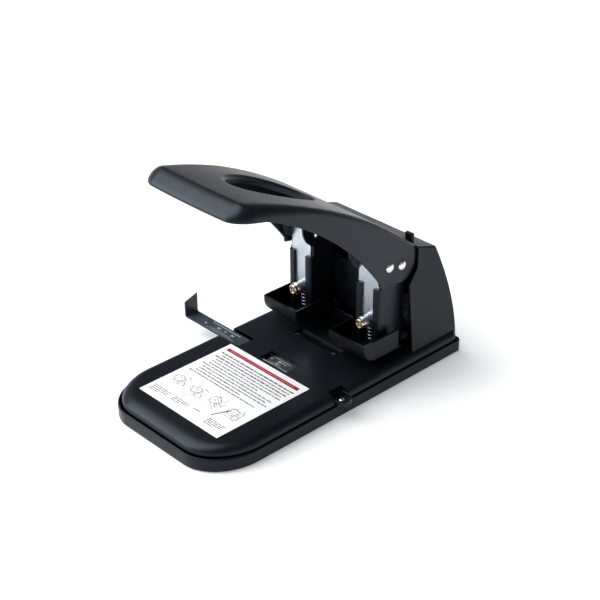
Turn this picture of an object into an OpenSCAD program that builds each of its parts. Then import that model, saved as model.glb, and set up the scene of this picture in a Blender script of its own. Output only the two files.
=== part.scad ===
// Heavy-duty two-hole lever punch.
// X runs across the punch, Y from the front edge of the base to the rear cover, Z up.
// The origin is the middle of the centre foot's underside, on the surface the punch stands on.

/* [Base] */
// Length of the base, front to rear
base_l = 280; // [270:1:340]
// Width of the base
base_w = 145; // [142:1:180]
// Corner radius at the front of the base
front_r = 30; // [15:1:40]
// Corner radius at the rear of the base
rear_r = 8; // [6:1:20]
// Height of the moulded tray above the ground
tray_h = 12; // [10:0.5:12]
// Wall of the moulded tray
tray_wall = 2.4; // [1.6:0.2:4]
// How far the feet stand below the tray
foot_drop = 0.8; // [0.4:0.1:2]
// Radius of each foot
foot_r = 7; // [5:0.5:10]
// Height of the plate's top face above the ground
plate_z = 20.3; // [20:0.1:28]
// Sheet thickness of the base plate
plate_t = 2; // [1.5:0.1:2.4]
// Radius of the plate's rolled shoulder
shoulder_r = 7; // [5:0.5:7]
// Width of the instruction label
label_w = 96; // [60:1:110]
// Length of the instruction label
label_l = 98; // [60:1:110]

/* [Punching] */
// Distance between the two holes
pitch = 80; // [70:1:96]
// Radius of the punched hole
hole_r = 3; // [2.5:0.1:3.2]
// Height of the gap that takes the paper
throat_h = 5; // [4.5:0.1:6]
// Distance from the paper's edge to the middle of the holes
margin = 12; // [11:0.5:12.5]

/* [Uprights] */
// Width of each upright channel
channel_w = 27.3; // [25:0.1:33]
// Depth of each upright channel
channel_d = 28.7; // [28:0.1:34.5]
// Sheet thickness of the uprights
sheet_t = 2; // [1.5:0.1:2.4]
// Gap between the two front lips
lip_gap = 13.7; // [11.4:0.1:16]
// Height of the lips above the plate
lip_h = 64.7; // [58:0.1:66]
// Y of the lips' front face
lip_y = 54.3; // [53.6:0.1:55]

/* [Handle] */
// Sheet thickness of the handle
handle_t = 2; // [1.5:0.1:2.5]
// Radius of the arc along the top of the handle
handle_arc = 440; // [436:1:444]
// Y of the handle's front edge
handle_front = -97; // [-104:1:-80]
// Radius of the handle's end round its pivot
handle_end_r = 15.5; // [13:0.1:16]
// Y of the pivot
pivot_y = 77; // [76.5:0.1:77.5]
// Height of the pivot above the plate
pivot_h = 80.7; // [79.7:0.1:81.7]
// Distance from the pivot to the drive pin
arm = 14.5; // [14:0.1:15]
// Rise of the drive pin above the pivot at rest, in degrees
arm_rise = 10.5; // [8:0.5:12]
// How far the handle turns, in degrees
swing = 40; // [30:1:40]
// Radius of the pivot and drive pins
pin_r = 3; // [2.5:0.1:3.2]
// Width of the hand hole
hand_w = 56; // [40:1:60]
// Length of the hand hole
hand_l = 80; // [60:1:84]

/* [Punch unit] */
// Thickness of the slider
slider_t = 2.8; // [2:0.1:3]
// Radius of the punch shank
shank_r = 4; // [3.6:0.1:4.2]
// Height of the clamp bolt's axis above the plate at rest
clamp_h = 30.8; // [30:0.1:32]
// Radius of the clamp boss
boss_r = 5.4; // [5:0.1:5.6]
// Radius of the clamp bolt's thread
bolt_r = 2.5; // [2:0.1:3]
// Radius of the return spring's wire
wire_r = 0.5; // [0.4:0.05:0.6]
// Working turns of the return spring
spring_turns = 4; // [3:1:4]

/* [Throat guard] */
// Width of each throat guard
guard_w = 41.4; // [38:0.1:46]
// Y of the guard's front face
guard_y = 30.4; // [26:0.1:34]
// Height of the guard's rim above the plate
guard_h = 23.5; // [20:0.1:24]
// Wall of the guard
guard_wall = 1.8; // [1.4:0.1:2]
// Radius of the guard's lower front edge
guard_r = 12; // [6:0.5:14]

/* [Rear cover] */
// How far the cover's foot stands in from the side of the base
cover_in = 6; // [5:0.1:7]
// Height of the cover's top rear edge above the plate
cover_h = 84.3; // [80:0.1:88]
// How far the cover's rear face leans forward
cover_lean = 21.7; // [15:0.1:25]
// Wall of the cover
cover_wall = 2.2; // [1.6:0.1:2.4]
// Gap between the handle and the cover
cover_gap = 2.2; // [1.5:0.1:3]

/* [Paper guide] */
// Width of the guide strip
strip_w = 14; // [10:0.5:15]
// Thickness of the guide strip
strip_t = 1.2; // [0.8:0.1:1.6]
// X of the guide's upturned end
strip_end = -118; // [-122:1:-116]
// Length of the guide strip
strip_l = 133; // [125:1:134]
// Height of the upturned end at its front edge
end_front = 15; // [10:0.5:20]
// Height of the upturned end at its rear edge
end_rear = 19.5; // [12:0.5:26]
// Y of the strip's centre line
strip_y = -4.5; // [-5:0.1:-4]

/* [Hidden] */

$fn = 64;
eps = 0.01;
big = 400;
touch = 0.02;          // radial gap of a tight fit
run = 0.05;            // radial gap of a running fit
slide = 0.2;           // gap beside a sliding face
loose = 0.1;           // radial gap of a screw in its hole

half_l = base_l / 2;
half_w = base_w / 2;
axis_x = pitch / 2;

// Base plate and tray
plate_under = plate_z - plate_t;
groove_h = 0.8;        // dark line between the tray and the plate
rim_z = tray_h + groove_h;
plate_in = 1;          // how far the plate's edge stands inside the tray's
foot_in = [20, 24];    // how far the feet stand in from the sides and the ends

// Punching axes, from front to rear
slider_y = lip_y + sheet_t + slide;
holder_y = slider_y + slider_t;
punch_y = holder_y + shank_r + slide;
stop_y = punch_y + margin;
upright_back = lip_y + channel_d;
wall_in = channel_w / 2 - sheet_t;

// Levels, from the plate up
guard_z = plate_z + throat_h;
guard_top = plate_z + guard_h;
foot_z = guard_z + guard_wall + 0.3;
guide_t = 3;
guide_top = foot_z + guide_t;
clamp_z = plate_z + clamp_h;
lip_top = plate_z + lip_h;
pivot_z = plate_z + pivot_h;
cover_top = plate_z + cover_h;

// Lever
drive_y = pivot_y - arm * cos(arm_rise);
drive_z = pivot_z + arm * sin(arm_rise);
stroke = arm * (sin(arm_rise) + sin(swing - arm_rise));
pin_near = pivot_y - arm;
pin_far = pivot_y - arm * cos(swing - arm_rise);
coupling_gap = 0.3;    // the pin's arc leaves the straight line by half of this
wall_gap = 0.4;        // gap round the drive pin in the uprights
head_r = 4.3;
head_t = 2;
handle_gap = 1.35;     // gap between an upright and the handle's wall
handle_w = pitch + channel_w + 2 * (handle_gap + handle_t);
handle_r = 9;          // corner radius in plan
arc_y = pivot_y - 270.5;
arc_z = pivot_z - 321;

// Screws and bolts that stand in pairs on each unit
pair_x = 7;            // distance of each from the unit's own axis
bolt_y = upright_back + 9;
upright_foot = 16;     // length of the upright's foot behind its back wall
hex_r = 4.6;
rivet_r = 1.5;
screw_r = 1.5;
screw_head_r = 2.6;
guard_screw_y = punch_y + 6;
brace = [plate_z + 13.7, lip_top - 7];

// Paper guide
strip_z = plate_under - 3.7;
strip_front = strip_y - strip_w / 2;
strip_back = strip_front + strip_w;
strip_gap = 0.4;       // gap under the strip
notch_x = -41;
rail_end = 60;
rail_wall = 1;

// Window, recess and lug
window_x = [-16, 17];
window_y = [strip_front - 3.5, strip_back - 2.5];
recess_x = 26;
recess_y = [28.5, 38.5];
die_screw = [22, (recess_y[0] + recess_y[1]) / 2];
lug_y = strip_y + 0.8;
lug_r = 7.9;
lug_x = half_w - 2.1;
lug_in = half_w - 11.5;
lug_floor = 1.4;

// Dies
die_r = 6;
die_t = 8;

// Rear cover
cover_foot = half_w - cover_in;
cover_crown = handle_w / 2 + 1.8;
cover_front = 60;      // the skin is drawn from here and cut back to the uprights
seat_y = half_l - 3;
bracket_y = half_l - 12;
bracket_t = 2;
cover_screw_x = 40;
cover_screw_z = plate_z + 11.7;
cover_screw_r = 1.9;

// Draws a solid at +X on both sides of the punch.
module both() {
    children();
    mirror([1, 0, 0]) children();
}

// Draws on both sides of a unit's own axis.
module paired() {
    for (x = [-pair_x, pair_x]) translate([x, 0, 0]) children();
}

// Moves to a unit's own axis, on the right (1) or the left (-1).
module unit(side) {
    translate([side * axis_x, 0, 0]) children();
}

// Extrudes an outline of (Y, Z) points across X, centred.
module across(w) {
    rotate([90, 0, 90]) translate([0, 0, -w / 2]) linear_extrude(w) children();
}

// A round rod along Y that starts at y and runs to the rear.
module rod_y(r, y, l, z) {
    translate([0, y, z]) rotate([-90, 0, 0]) cylinder(r = r, h = l);
}

// A round rod along X that starts at x.
module rod_x(r, x, l, y, z) {
    translate([x, y, z]) rotate([0, 90, 0]) cylinder(r = r, h = l);
}

// A block given by its lowest and highest corners.
module block(a, b) {
    translate(a) cube(b - a);
}

// Plan outline of the base, drawn in by a distance.
module base_outline(inset) {
    w = half_w - inset;
    l = half_l - inset;
    rf = front_r - inset;
    rr = rear_r - inset;
    for (x = [-1, 1]) {
        translate([x * (w - rf), -l + rf]) circle(rf);
        translate([x * (w - rr), l - rr]) circle(rr);
    }
    translate([-w, -l + rf]) square([2 * w, 2 * l - rf - rr]);
    translate([-w + rf, -l]) square([2 * (w - rf), 2 * l - rr]);
    translate([-w + rr, 0]) square([2 * (w - rr), l]);
}

// Rounded body of the base plate, from its rim to its top face.
module plate_body(inset, top) {
    r = shoulder_r - inset;
    w = half_w - plate_in - inset;
    l = half_l - plate_in - inset;
    rf = front_r - plate_in - inset;
    hull() {
        for (x = [-1, 1]) {
            translate([x * (w - rf), -l + rf, 0]) shoulder(rf, r, top);
            translate([x * (w - r), l - r, 0]) shoulder(r, r, top);
        }
    }
}

// Corner of the plate: a post whose upper edge is rounded.
module shoulder(post_r, r, top) {
    steps = 6;
    arc = [for (i = [0 : steps]) [post_r - r + r * cos(i * 90 / steps),
                                  top - r + r * sin(i * 90 / steps)]];
    rotate_extrude($fn = 32) polygon(concat([[0, rim_z], [post_r, rim_z]], arc, [[0, top]]));
}

module base_tray() {
    floor_t = 2;
    post_r = 4;
    post_x = half_w - 17;
    post_y = [-half_l + 45, half_l - 18];
    color("#26292d") difference() {
        union() {
            translate([0, 0, foot_drop]) linear_extrude(tray_h - foot_drop) difference() {
                base_outline(0);
                base_outline(tray_wall);
            }
            translate([0, 0, foot_drop]) linear_extrude(floor_t) base_outline(eps);
            both() for (y = post_y) translate([post_x, y, foot_drop])
                cylinder(r = post_r, h = plate_under - foot_drop);
            translate([0, 0, foot_drop]) linear_extrude(tray_h - foot_drop) intersection() {
                translate([lug_x, lug_y]) circle(post_r);
                base_outline(0);
            }
        }
        for (p = foot_places()) translate([p[0], p[1], 0]) cylinder(r = foot_r + slide, h = 2 * foot_drop);
        translate([lug_x, lug_y, tray_h - 7]) cylinder(r = screw_r + touch, h = 10);
    }
}

function foot_places() = [[0, 0], for (x = [-1, 1], y = [-1, 1])
    [x * (half_w - foot_in[0]), y * (half_l - foot_in[1])]];

module rubber_feet() {
    color("#1b1c1e") for (p = foot_places())
        translate([p[0], p[1], 0]) cylinder(r = foot_r, h = 2 * foot_drop);
}

module base_plate() {
    pointer = 3;           // side of each small pointed notch in the window's rear edge
    color("#2b3238") difference() {
        plate_body(0, plate_z);
        translate([0, 0, -eps]) plate_body(plate_t, plate_under + eps);
        block([-half_w, strip_front - 5, rim_z + 1], [notch_x, strip_back + 1, big]);
        block([window_x[0], window_y[0], 0], [window_x[1], window_y[1], big]);
        for (x = [-2.7, 7.4]) translate([x, window_y[1], 0])
            rotate(45) translate([-pointer / 2, -pointer / 2, 0]) cube([pointer, pointer, big]);
        block([-recess_x, recess_y[0], 0], [recess_x, recess_y[1], big]);
        translate([0, 0, rim_z - 1]) linear_extrude(big) lug_outline(slide);
        both() translate([axis_x, punch_y, 0]) cylinder(r = die_r + touch, h = big);
        both() translate([axis_x, bolt_y, 0]) paired() cylinder(r = bolt_r + loose, h = big);
    }
}

module instruction_label() {
    label_t = 0.2;
    r = 2;
    back = strip_front - 6.8;
    color("white") translate([0, back - label_l / 2, plate_z]) linear_extrude(label_t) {
        for (x = [-1, 1], y = [-1, 1]) translate([x * (label_w / 2 - r), y * (label_l / 2 - r)]) circle(r);
        square([label_w - 2 * r, label_l], center = true);
        square([label_w, label_l - 2 * r], center = true);
    }
}

// Plan outline of the cup at the right edge of the base.
module lug_outline(grow) {
    translate([lug_x, lug_y]) circle(lug_r + grow);
    translate([lug_in - grow, lug_y - lug_r - grow]) square([lug_x - lug_in + grow, 2 * (lug_r + grow)]);
}

module side_lug() {
    rim_h = 3.2;
    wall = 1.2;
    color("#2b3238") translate([0, 0, tray_h]) difference() {
        linear_extrude(lug_floor + rim_h) lug_outline(0);
        translate([0, 0, lug_floor]) linear_extrude(rim_h + eps) lug_outline(-wall);
        translate([lug_x, lug_y, -eps]) cylinder(r = screw_r + loose, h = 5);
    }
}

module lug_screw() {
    head_h = 2;
    color("#e4e6e8") translate([lug_x, lug_y, tray_h]) {
        translate([0, 0, -6]) cylinder(r = screw_r, h = 6 + lug_floor);
        translate([0, 0, lug_floor]) difference() {
            cylinder(r = 2.9, h = head_h);
            for (a = [0, 90]) rotate(a) translate([-2, -0.4, head_h / 2]) cube([4, 0.8, head_h]);
        }
    }
}

module guide_rail() {
    y0 = strip_front - slide;
    y1 = strip_back + slide;
    z0 = strip_z - strip_gap - rail_wall;
    x0 = -half_w + plate_in + plate_t + 2;
    color("#8a8f94") {
        block([x0, y0 - rail_wall, z0], [rail_end, y1 + rail_wall, z0 + rail_wall]);
        for (y = [y0 - rail_wall, y1])
            block([notch_x, y, z0], [rail_end, y + rail_wall, plate_under]);
    }
}

module guide_spring() {
    half = 4;
    x0 = notch_x + 8;
    color("#c9ccd0")
        block([x0, strip_y - half, strip_z - strip_gap], [x0 + 26, strip_y + half, strip_z - 0.08]);
}

module paper_guide() {
    color("#6c7378") {
        block([strip_end, strip_front, strip_z], [strip_end + strip_l, strip_back, strip_z + strip_t]);
        translate([strip_end + strip_t / 2, 0, 0]) across(strip_t)
            polygon([[strip_front, strip_z], [strip_back, strip_z], [strip_back, strip_z + end_rear],
                     [strip_back - 2, strip_z + end_rear], [strip_front, strip_z + end_front]]);
    }
}

module die_plate() {
    past_x = 14;           // how far the plate runs past each die's axis
    bridge_t = 3;
    edge = 0.4;            // gap round the bar in its recess
    bar = [recess_x - edge, recess_y[0] + edge, recess_y[1] - edge];
    color("#9aa0a5") difference() {
        union() {
            block([-axis_x - past_x, punch_y - 14, plate_under - die_t],
                  [axis_x + past_x, punch_y + 12, plate_under]);
            block([-recess_x, recess_y[0] - 2, plate_under - bridge_t],
                  [recess_x, punch_y - 10, plate_under]);
            block([-bar[0], bar[1], plate_under - 1], [bar[0], bar[2], plate_z - 0.7]);
        }
        both() translate([axis_x, punch_y, 0]) cylinder(r = die_r + touch, h = big);
        both() translate([die_screw[0], die_screw[1], 0]) {
            cylinder(r = screw_r + loose, h = big);
            translate([0, 0, plate_under]) cylinder(r = screw_head_r + slide, h = big);
        }
    }
}

module die_screws() {
    head_h = 1.3;
    color("#b9bec2") both() translate([die_screw[0], die_screw[1], plate_under]) {
        difference() {
            cylinder(r = screw_head_r, h = head_h);
            translate([-3, -0.35, head_h - 0.6]) cube([6, 0.7, head_h]);
        }
        translate([0, 0, -4]) cylinder(r = screw_r, h = 4.5);
    }
}

module die(side) {
    color("#b4b8bc") unit(side) translate([0, punch_y, plate_under - die_t]) difference() {
        cylinder(r = die_r, h = die_t + plate_t);
        translate([0, 0, -eps]) cylinder(r = hole_r + run, h = big);
        translate([0, 0, -eps]) cylinder(r = hole_r + 1, h = die_t - 3);
    }
}

module back_stop() {
    w = axis_x - channel_w / 2 - slide;
    t = 1.5;
    color("#3a3e42") {
        block([-w, stop_y, plate_z], [w, stop_y + t, plate_z + 10]);
        block([-w, stop_y, plate_z], [w, stop_y + 6 * t, plate_z + t]);
    }
}

// Side of an upright: post, rounded lobe at the front and ear round the pivot.
module cheek() {
    lobe_r = 20;
    lobe = [pivot_y - 11, pivot_z + 11];
    crown = pivot_z + 14;
    difference() {
        intersection() {
            union() {
                translate([lip_y, plate_z]) square([channel_d, crown - plate_z]);
                translate(lobe) circle(lobe_r);
            }
            translate([lobe[0] - lobe_r, plate_z]) square([upright_back - lobe[0] + lobe_r, crown - plate_z]);
        }
        square([stop_y, foot_z]);
        square([lip_y, pivot_z - 9]);
        translate([pivot_y, pivot_z]) circle(pin_r + touch);
        translate([drive_y, drive_z]) circle(pin_r + wall_gap);
        for (y = [pin_near, pin_far]) for (z = [drive_z, drive_z - stroke])
            translate([y, z]) circle(pin_r + wall_gap);
        translate([pin_near - pin_r - wall_gap, drive_z - stroke])
            square([pin_far - pin_near + 2 * (pin_r + wall_gap), stroke]);
        translate([pin_near, drive_z - stroke - pin_r - wall_gap])
            square([pin_far - pin_near, stroke + 2 * (pin_r + wall_gap)]);
    }
}

module upright(side) {
    half = channel_w / 2;
    color("#2f343a") unit(side) difference() {
        union() {
            for (s = [-1, 1]) {
                translate([s * (half - sheet_t / 2), 0, 0]) across(sheet_t) cheek();
                translate([s > 0 ? lip_gap / 2 : -half + eps, 0, 0])
                    block([0, lip_y, foot_z], [half - lip_gap / 2 - eps, lip_y + sheet_t, lip_top]);
            }
            block([-half + eps, upright_back - sheet_t, plate_z], [half - eps, upright_back, lip_top]);
            block([-half + eps, upright_back - sheet_t, plate_z],
                  [half - eps, upright_back + upright_foot, plate_z + sheet_t]);
        }
        translate([0, bolt_y, 0]) paired() cylinder(r = bolt_r + loose, h = plate_z + 5);
        rivet_places() rod_y(rivet_r + touch, upright_back - 5, 10, 0);
    }
}

// Moves to each rivet between an upright and the cross brace.
module rivet_places() {
    for (z = [brace[0] + pair_x, brace[1] - pair_x]) translate([0, 0, z]) paired() children();
}

module upright_bolts() {
    head_h = 3.5;
    nut_h = 3;
    color("#a9adb1") both() translate([axis_x, bolt_y, 0]) paired() {
        translate([0, 0, plate_z + sheet_t]) cylinder(r = hex_r, h = head_h, $fn = 6);
        translate([0, 0, plate_under - nut_h]) cylinder(r = bolt_r, h = plate_t + nut_h + sheet_t + eps);
        translate([0, 0, plate_under - nut_h]) cylinder(r = hex_r, h = nut_h, $fn = 6);
    }
}

module cross_brace() {
    w = axis_x + channel_w / 2;
    color("#2b3035") difference() {
        block([-w, upright_back, brace[0]], [w, upright_back + sheet_t, brace[1]]);
        both() translate([axis_x, 0, 0]) rivet_places() rod_y(rivet_r + touch, upright_back - 5, 10, 0);
    }
}

module brace_rivets() {
    front = upright_back - sheet_t;
    cap = 1.2;
    color("#9da2a6") both() translate([axis_x, 0, 0]) rivet_places() {
        rod_y(screw_head_r, front - cap, cap, 0);
        rod_y(rivet_r, front - 0.5, 2 * sheet_t + 1, 0);
        rod_y(screw_head_r, upright_back + sheet_t, cap, 0);
    }
}

module punch_guide(side) {
    w = wall_in - touch;
    color("#878d92") unit(side) difference() {
        block([-w, slider_y, foot_z], [w, upright_back - sheet_t - touch, guide_top]);
        translate([0, punch_y, 0]) cylinder(r = hole_r + run, h = big);
        translate([0, guard_screw_y, 0]) paired() cylinder(r = screw_r + touch, h = big);
        block([-w - 1, stop_y, 0], [w + 1, big, foot_z + eps]);
    }
}

module guard_screws() {
    color("#a9adb1") both() translate([axis_x, guard_screw_y, guard_z]) paired() {
        cylinder(r = screw_head_r, h = 1);
        cylinder(r = screw_r, h = guide_top - guard_z);
    }
}

// Outline of the guard seen from the side.
module guard_side(inset) {
    r = guard_r - inset;
    y = guard_y + inset;
    z = guard_z + inset;
    translate([y + r, z + r]) circle(r);
    translate([y, z + r]) square([2 * r, big]);
    translate([y + r, z]) square([stop_y - slide - y - r, big]);
}

module throat_guard(side) {
    color("#2c3136") unit(side) difference() {
        intersection() {
            across(guard_w) guard_side(0);
            block([-guard_w / 2, 0, 0], [guard_w / 2, stop_y - slide, guard_top]);
        }
        across(guard_w - 2 * guard_wall) guard_side(guard_wall);
        translate([0, punch_y, 0]) cylinder(r = hole_r + slide, h = big);
        translate([0, guard_screw_y, 0]) paired() {
            cylinder(r = screw_r + loose, h = big);
            cylinder(r = screw_head_r + loose, h = guard_z + 1);
        }
        block([-guard_w, stop_y - 4, foot_z], [guard_w, big, big]);
    }
}

// A pin from the handle's wall to the inner side of the upright, with a head at each end.
module pin(side, y, z, outer_gap, inner_gap) {
    out = handle_w / 2 + outer_gap;
    inner = axis_x - channel_w / 2 - inner_gap;
    mirror([side > 0 ? 0 : 1, 0, 0]) {
        rod_x(pin_r, inner, out - inner, y, z);
        rod_x(head_r, out, head_t, y, z);
        rod_x(head_r, inner - head_t, head_t, y, z);
    }
}

module pivot_pin(side) {
    color("#dfe3e6") pin(side, pivot_y, pivot_z, slide, 0);
}

module drive_pin(side) {
    color("#dfe3e6") pin(side, drive_y, drive_z, 0, slide);
}

// Ring of points round the spring's wire, at a turn.
function ring(turn, h, mean, sides) =
    [for (i = [0 : sides - 1]) let (a = 360 * i / sides, r = mean + wire_r * cos(a))
        [r * cos(360 * turn), r * sin(360 * turn), h + wire_r * sin(a)]];

module return_spring(side) {
    sides = 8;
    per_turn = 24;
    mean = shank_r + 1.4;
    low = guide_top + wire_r + touch;
    high = clamp_z - boss_r - wire_r - loose;
    turns = spring_turns + 1;
    closed = 0.9 * wire_r;     // rise of each closed half turn
    rise = function (t) t < 0.5 ? 2 * closed * t
        : t > turns - 0.5 ? high - low - 2 * closed * (turns - t)
        : closed + (high - low - 2 * closed) * (t - 0.5) / spring_turns;
    rings = turns * per_turn;
    points = [for (k = [0 : rings]) each ring(k / per_turn, low + rise(k / per_turn), mean, sides)];
    walls = [for (k = [0 : rings - 1], i = [0 : sides - 1])
        let (j = (i + 1) % sides, a = k * sides, b = a + sides)
        each [[a + i, b + i, b + j], [a + i, b + j, a + j]]];
    ends = [[for (i = [0 : sides - 1]) i], [for (i = [sides - 1 : -1 : 0]) rings * sides + i]];
    color("#c9ccd0") unit(side) translate([0, punch_y, 0]) polyhedron(points, concat(walls, ends));
}

// Half width and rear face of the cover's outer skin, at a share of its height.
function cover_half(f) = cover_foot + (cover_crown - cover_foot) * f;
function cover_back(f) = half_l - 1 - cover_lean * pow(f, 1.75);

module cover_skin(inset) {
    r = 6;
    lid = 0.1;
    crown = cover_crown - inset;
    hull() {
        for (f = [0, 0.29, 0.65, 0.85])
            translate([0, 0, plate_z + cover_h * f - (f > 0 ? lid : 0)]) linear_extrude(lid) {
                for (x = [-1, 1]) translate([x * (cover_half(f) - inset - r), cover_back(f) - inset - r])
                    circle(r, $fn = 32);
                translate([inset - cover_half(f), cover_front]) square([2 * (cover_half(f) - inset), 5]);
            }
        block([-crown, cover_front, cover_top - inset - 1],
              [crown, cover_back(1) - inset, cover_top - inset]);
        block([-crown, cover_front, cover_top + 7.8 - inset],
              [crown, pivot_y + 15, cover_top + 8.4 - inset]);
    }
}

module rear_cover() {
    color("#2d3338") difference() {
        cover_skin(0);
        translate([0, 0, -eps]) cover_skin(cover_wall);
        block([-big, 0, 0], [big, upright_back + slide, big]);
        rod_x(handle_end_r + cover_gap, -big / 2, big, pivot_y, pivot_z);
        block([-big, 0, pivot_z], [big, pivot_y + handle_end_r + cover_gap, big]);
        both() translate([cover_screw_x, 0, 0]) {
            rod_y(cover_screw_r + touch, bracket_y, 30, cover_screw_z);
            rod_y(4.2, seat_y, 30, cover_screw_z);
        }
    }
}

module cover_bracket() {
    w = cover_screw_x + 10;
    color("#8f959a") difference() {
        union() {
            block([-w, bracket_y, plate_z], [w, bracket_y + bracket_t, cover_screw_z + 6]);
            block([-w, bracket_y - 10, plate_z], [w, bracket_y, plate_z + bracket_t]);
        }
        both() translate([cover_screw_x, 0, 0])
            rod_y(cover_screw_r + touch, bracket_y - 5, 30, cover_screw_z);
    }
}

module cover_screws() {
    color("#3c4044") both() translate([cover_screw_x, 0, 0]) difference() {
        union() {
            rod_y(cover_screw_r, bracket_y - 3, seat_y - bracket_y + 3, cover_screw_z);
            rod_y(3.8, seat_y, head_t, cover_screw_z);
        }
        for (a = [0, 90]) translate([0, seat_y + head_t - 0.8, cover_screw_z]) rotate([0, a, 0])
            block([-2.4, 0, -0.5], [2.4, 2, 0.5]);
    }
}

module handle_stop() {
    x = [43, 51];
    y = pivot_y + handle_end_r + cover_gap;
    color("#15171a") difference() {
        block([x[0], y, cover_top - 2], [x[1], y + 3.2, cover_top + 16]);
        cover_skin(0);
    }
}

// Point of the handle's lower edge, from the front (0) to the tip before the rear end (1).
function lower_edge(t) = let (a = [-174, 99.9], b = [-82, 71], c = [-25.5, -7.3])
    [pivot_y, pivot_z] + (1 - t) * (1 - t) * a + 2 * t * (1 - t) * b + t * t * c;

// Outline of the handle's wall under its arched top. It runs past the front edge, which the plan cuts.
module handle_side() {
    past = handle_front - 8;
    steps = 12;
    intersection() {
        translate([arc_y, arc_z]) circle(handle_arc, $fn = 360);
        union() {
            polygon(concat([[past, big], [past, lower_edge(0)[1] + 3]],
                           [for (i = [0 : steps]) lower_edge(i / steps)],
                           [[pivot_y - 24.8, pivot_z - 11.4], [pivot_y, pivot_z - handle_end_r],
                            [pivot_y + handle_end_r, pivot_z], [pivot_y + handle_end_r, big]]));
            translate([pivot_y, pivot_z]) circle(handle_end_r);
        }
    }
}

// Plan outline of the handle.
module handle_plan(inset) {
    r = handle_r - inset;
    w = handle_w / 2 - inset;
    y = handle_front + inset;
    for (x = [-1, 1]) translate([x * (w - r), y + r]) circle(r);
    translate([-w + r, y]) square([2 * (w - r), 2 * r]);
    translate([-w, y + r]) square([2 * w, big]);
}

module handle_shell() {
    hand_y = handle_front + 83;
    color("#3a3d41") difference() {
        intersection() {
            across(handle_w + 2) handle_side();
            linear_extrude(big) handle_plan(0);
        }
        intersection() {
            across(handle_w) translate([arc_y, arc_z]) circle(handle_arc - handle_t, $fn = 360);
            linear_extrude(big) handle_plan(handle_t);
        }
        translate([0, hand_y, pivot_z]) linear_extrude(big)
            polygon([for (a = [0 : 7.5 : 359]) [hand_w / 2 * cos(a), hand_l / 2 * sin(a)]]);
        rod_x(pin_r + run, -big / 2, big, pivot_y, pivot_z);
        rod_x(pin_r + touch, -big / 2, big, drive_y, drive_z);
    }
}

module slider(side) {
    top = drive_z + 9;
    half = wall_in - 0.35;
    ear_t = 3;
    color("#d5dde4") unit(side) difference() {
        union() {
            block([-half, slider_y, clamp_z - 4], [half, holder_y, top]);
            for (x = [-half, half - ear_t])
                block([x, holder_y - eps, drive_z - 9], [x + ear_t, pin_far + pin_r + 4, top]);
        }
        rod_y(boss_r + loose, 0, big, clamp_z);
        across(big) {
            for (y = [pin_near, pin_far]) translate([y, drive_z]) circle(pin_r + coupling_gap);
            translate([pin_near, drive_z - pin_r - coupling_gap])
                square([pin_far - pin_near, 2 * (pin_r + coupling_gap)]);
        }
    }
}

module punch_holder(side) {
    half = 9;
    boss_y = lip_y - 4.3;
    color("#c9d0d6") unit(side) difference() {
        union() {
            block([-half, holder_y, clamp_z - boss_r], [half, punch_y + 8, clamp_z + boss_r + 1]);
            rod_y(boss_r, boss_y, holder_y - boss_y + 0.1, clamp_z);
        }
        translate([0, punch_y, 0]) cylinder(r = shank_r + touch, h = clamp_z + boss_r - 1);
        rod_y(bolt_r + run, 0, punch_y, clamp_z);
    }
}

module clamp_bolt(side) {
    bolt_head_r = 4.8;
    bolt_head_h = 4.4;
    head_y = lip_y - 4.3;
    color("#e0c48f") unit(side) {
        rod_y(bolt_r, head_y - 1, punch_y - shank_r - head_y + 0.9, clamp_z);
        difference() {
            rod_y(bolt_head_r, head_y - bolt_head_h, bolt_head_h, clamp_z);
            translate([0, head_y - bolt_head_h - eps, clamp_z]) rotate([-90, 0, 0])
                cylinder(r = 2.3, h = 2.4, $fn = 6);
        }
    }
}

module punch(side) {
    tip = guard_z + 0.7;
    cutter = 16;
    color("#aeb4b9") unit(side) translate([0, punch_y, 0]) difference() {
        union() {
            translate([0, 0, tip]) cylinder(r = hole_r, h = cutter + eps);
            translate([0, 0, tip + cutter]) cylinder(r = shank_r, h = clamp_z + boss_r - 1.1 - tip - cutter);
        }
        translate([0, 0, tip - hole_r * 0.6]) rotate([45, 0, 0]) cube([20, hole_r, hole_r], center = true);
    }
}

base_tray();
rubber_feet();
base_plate();
instruction_label();
side_lug();
lug_screw();
guide_rail();
guide_spring();
paper_guide();
die_plate();
die_screws();
die(-1);  // left_die
die(1);  // right_die
back_stop();
upright(-1);  // left_upright
upright(1);  // right_upright
upright_bolts();
cross_brace();
brace_rivets();
punch_guide(-1);  // left_punch_guide
punch_guide(1);  // right_punch_guide
guard_screws();
throat_guard(-1);  // left_throat_guard
throat_guard(1);  // right_throat_guard
pivot_pin(-1);  // left_pivot_pin
pivot_pin(1);  // right_pivot_pin
return_spring(-1);  // left_return_spring
return_spring(1);  // right_return_spring
rear_cover();
cover_bracket();
cover_screws();
handle_stop();
handle_shell();
drive_pin(-1);  // left_drive_pin
drive_pin(1);  // right_drive_pin
slider(-1);  // left_slider
slider(1);  // right_slider
punch_holder(-1);  // left_punch_holder
punch_holder(1);  // right_punch_holder
clamp_bolt(-1);  // left_clamp_bolt
clamp_bolt(1);  // right_clamp_bolt
punch(-1);  // left_punch
punch(1);  // right_punch
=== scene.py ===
"""Studio model of a heavy-duty two-hole lever punch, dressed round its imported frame.

Lengths inside the classes are millimetres in the punch's own frame: X across, Y to the rear, Z up.
"""

import logging
import random
from collections.abc import Callable, Iterable, Sequence
from dataclasses import dataclass, field
from enum import Enum
from math import acos, asin, atan2, cos, degrees, hypot, pi, radians, sin, sqrt

import bmesh
import bpy
from mathutils import Matrix, Vector


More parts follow.
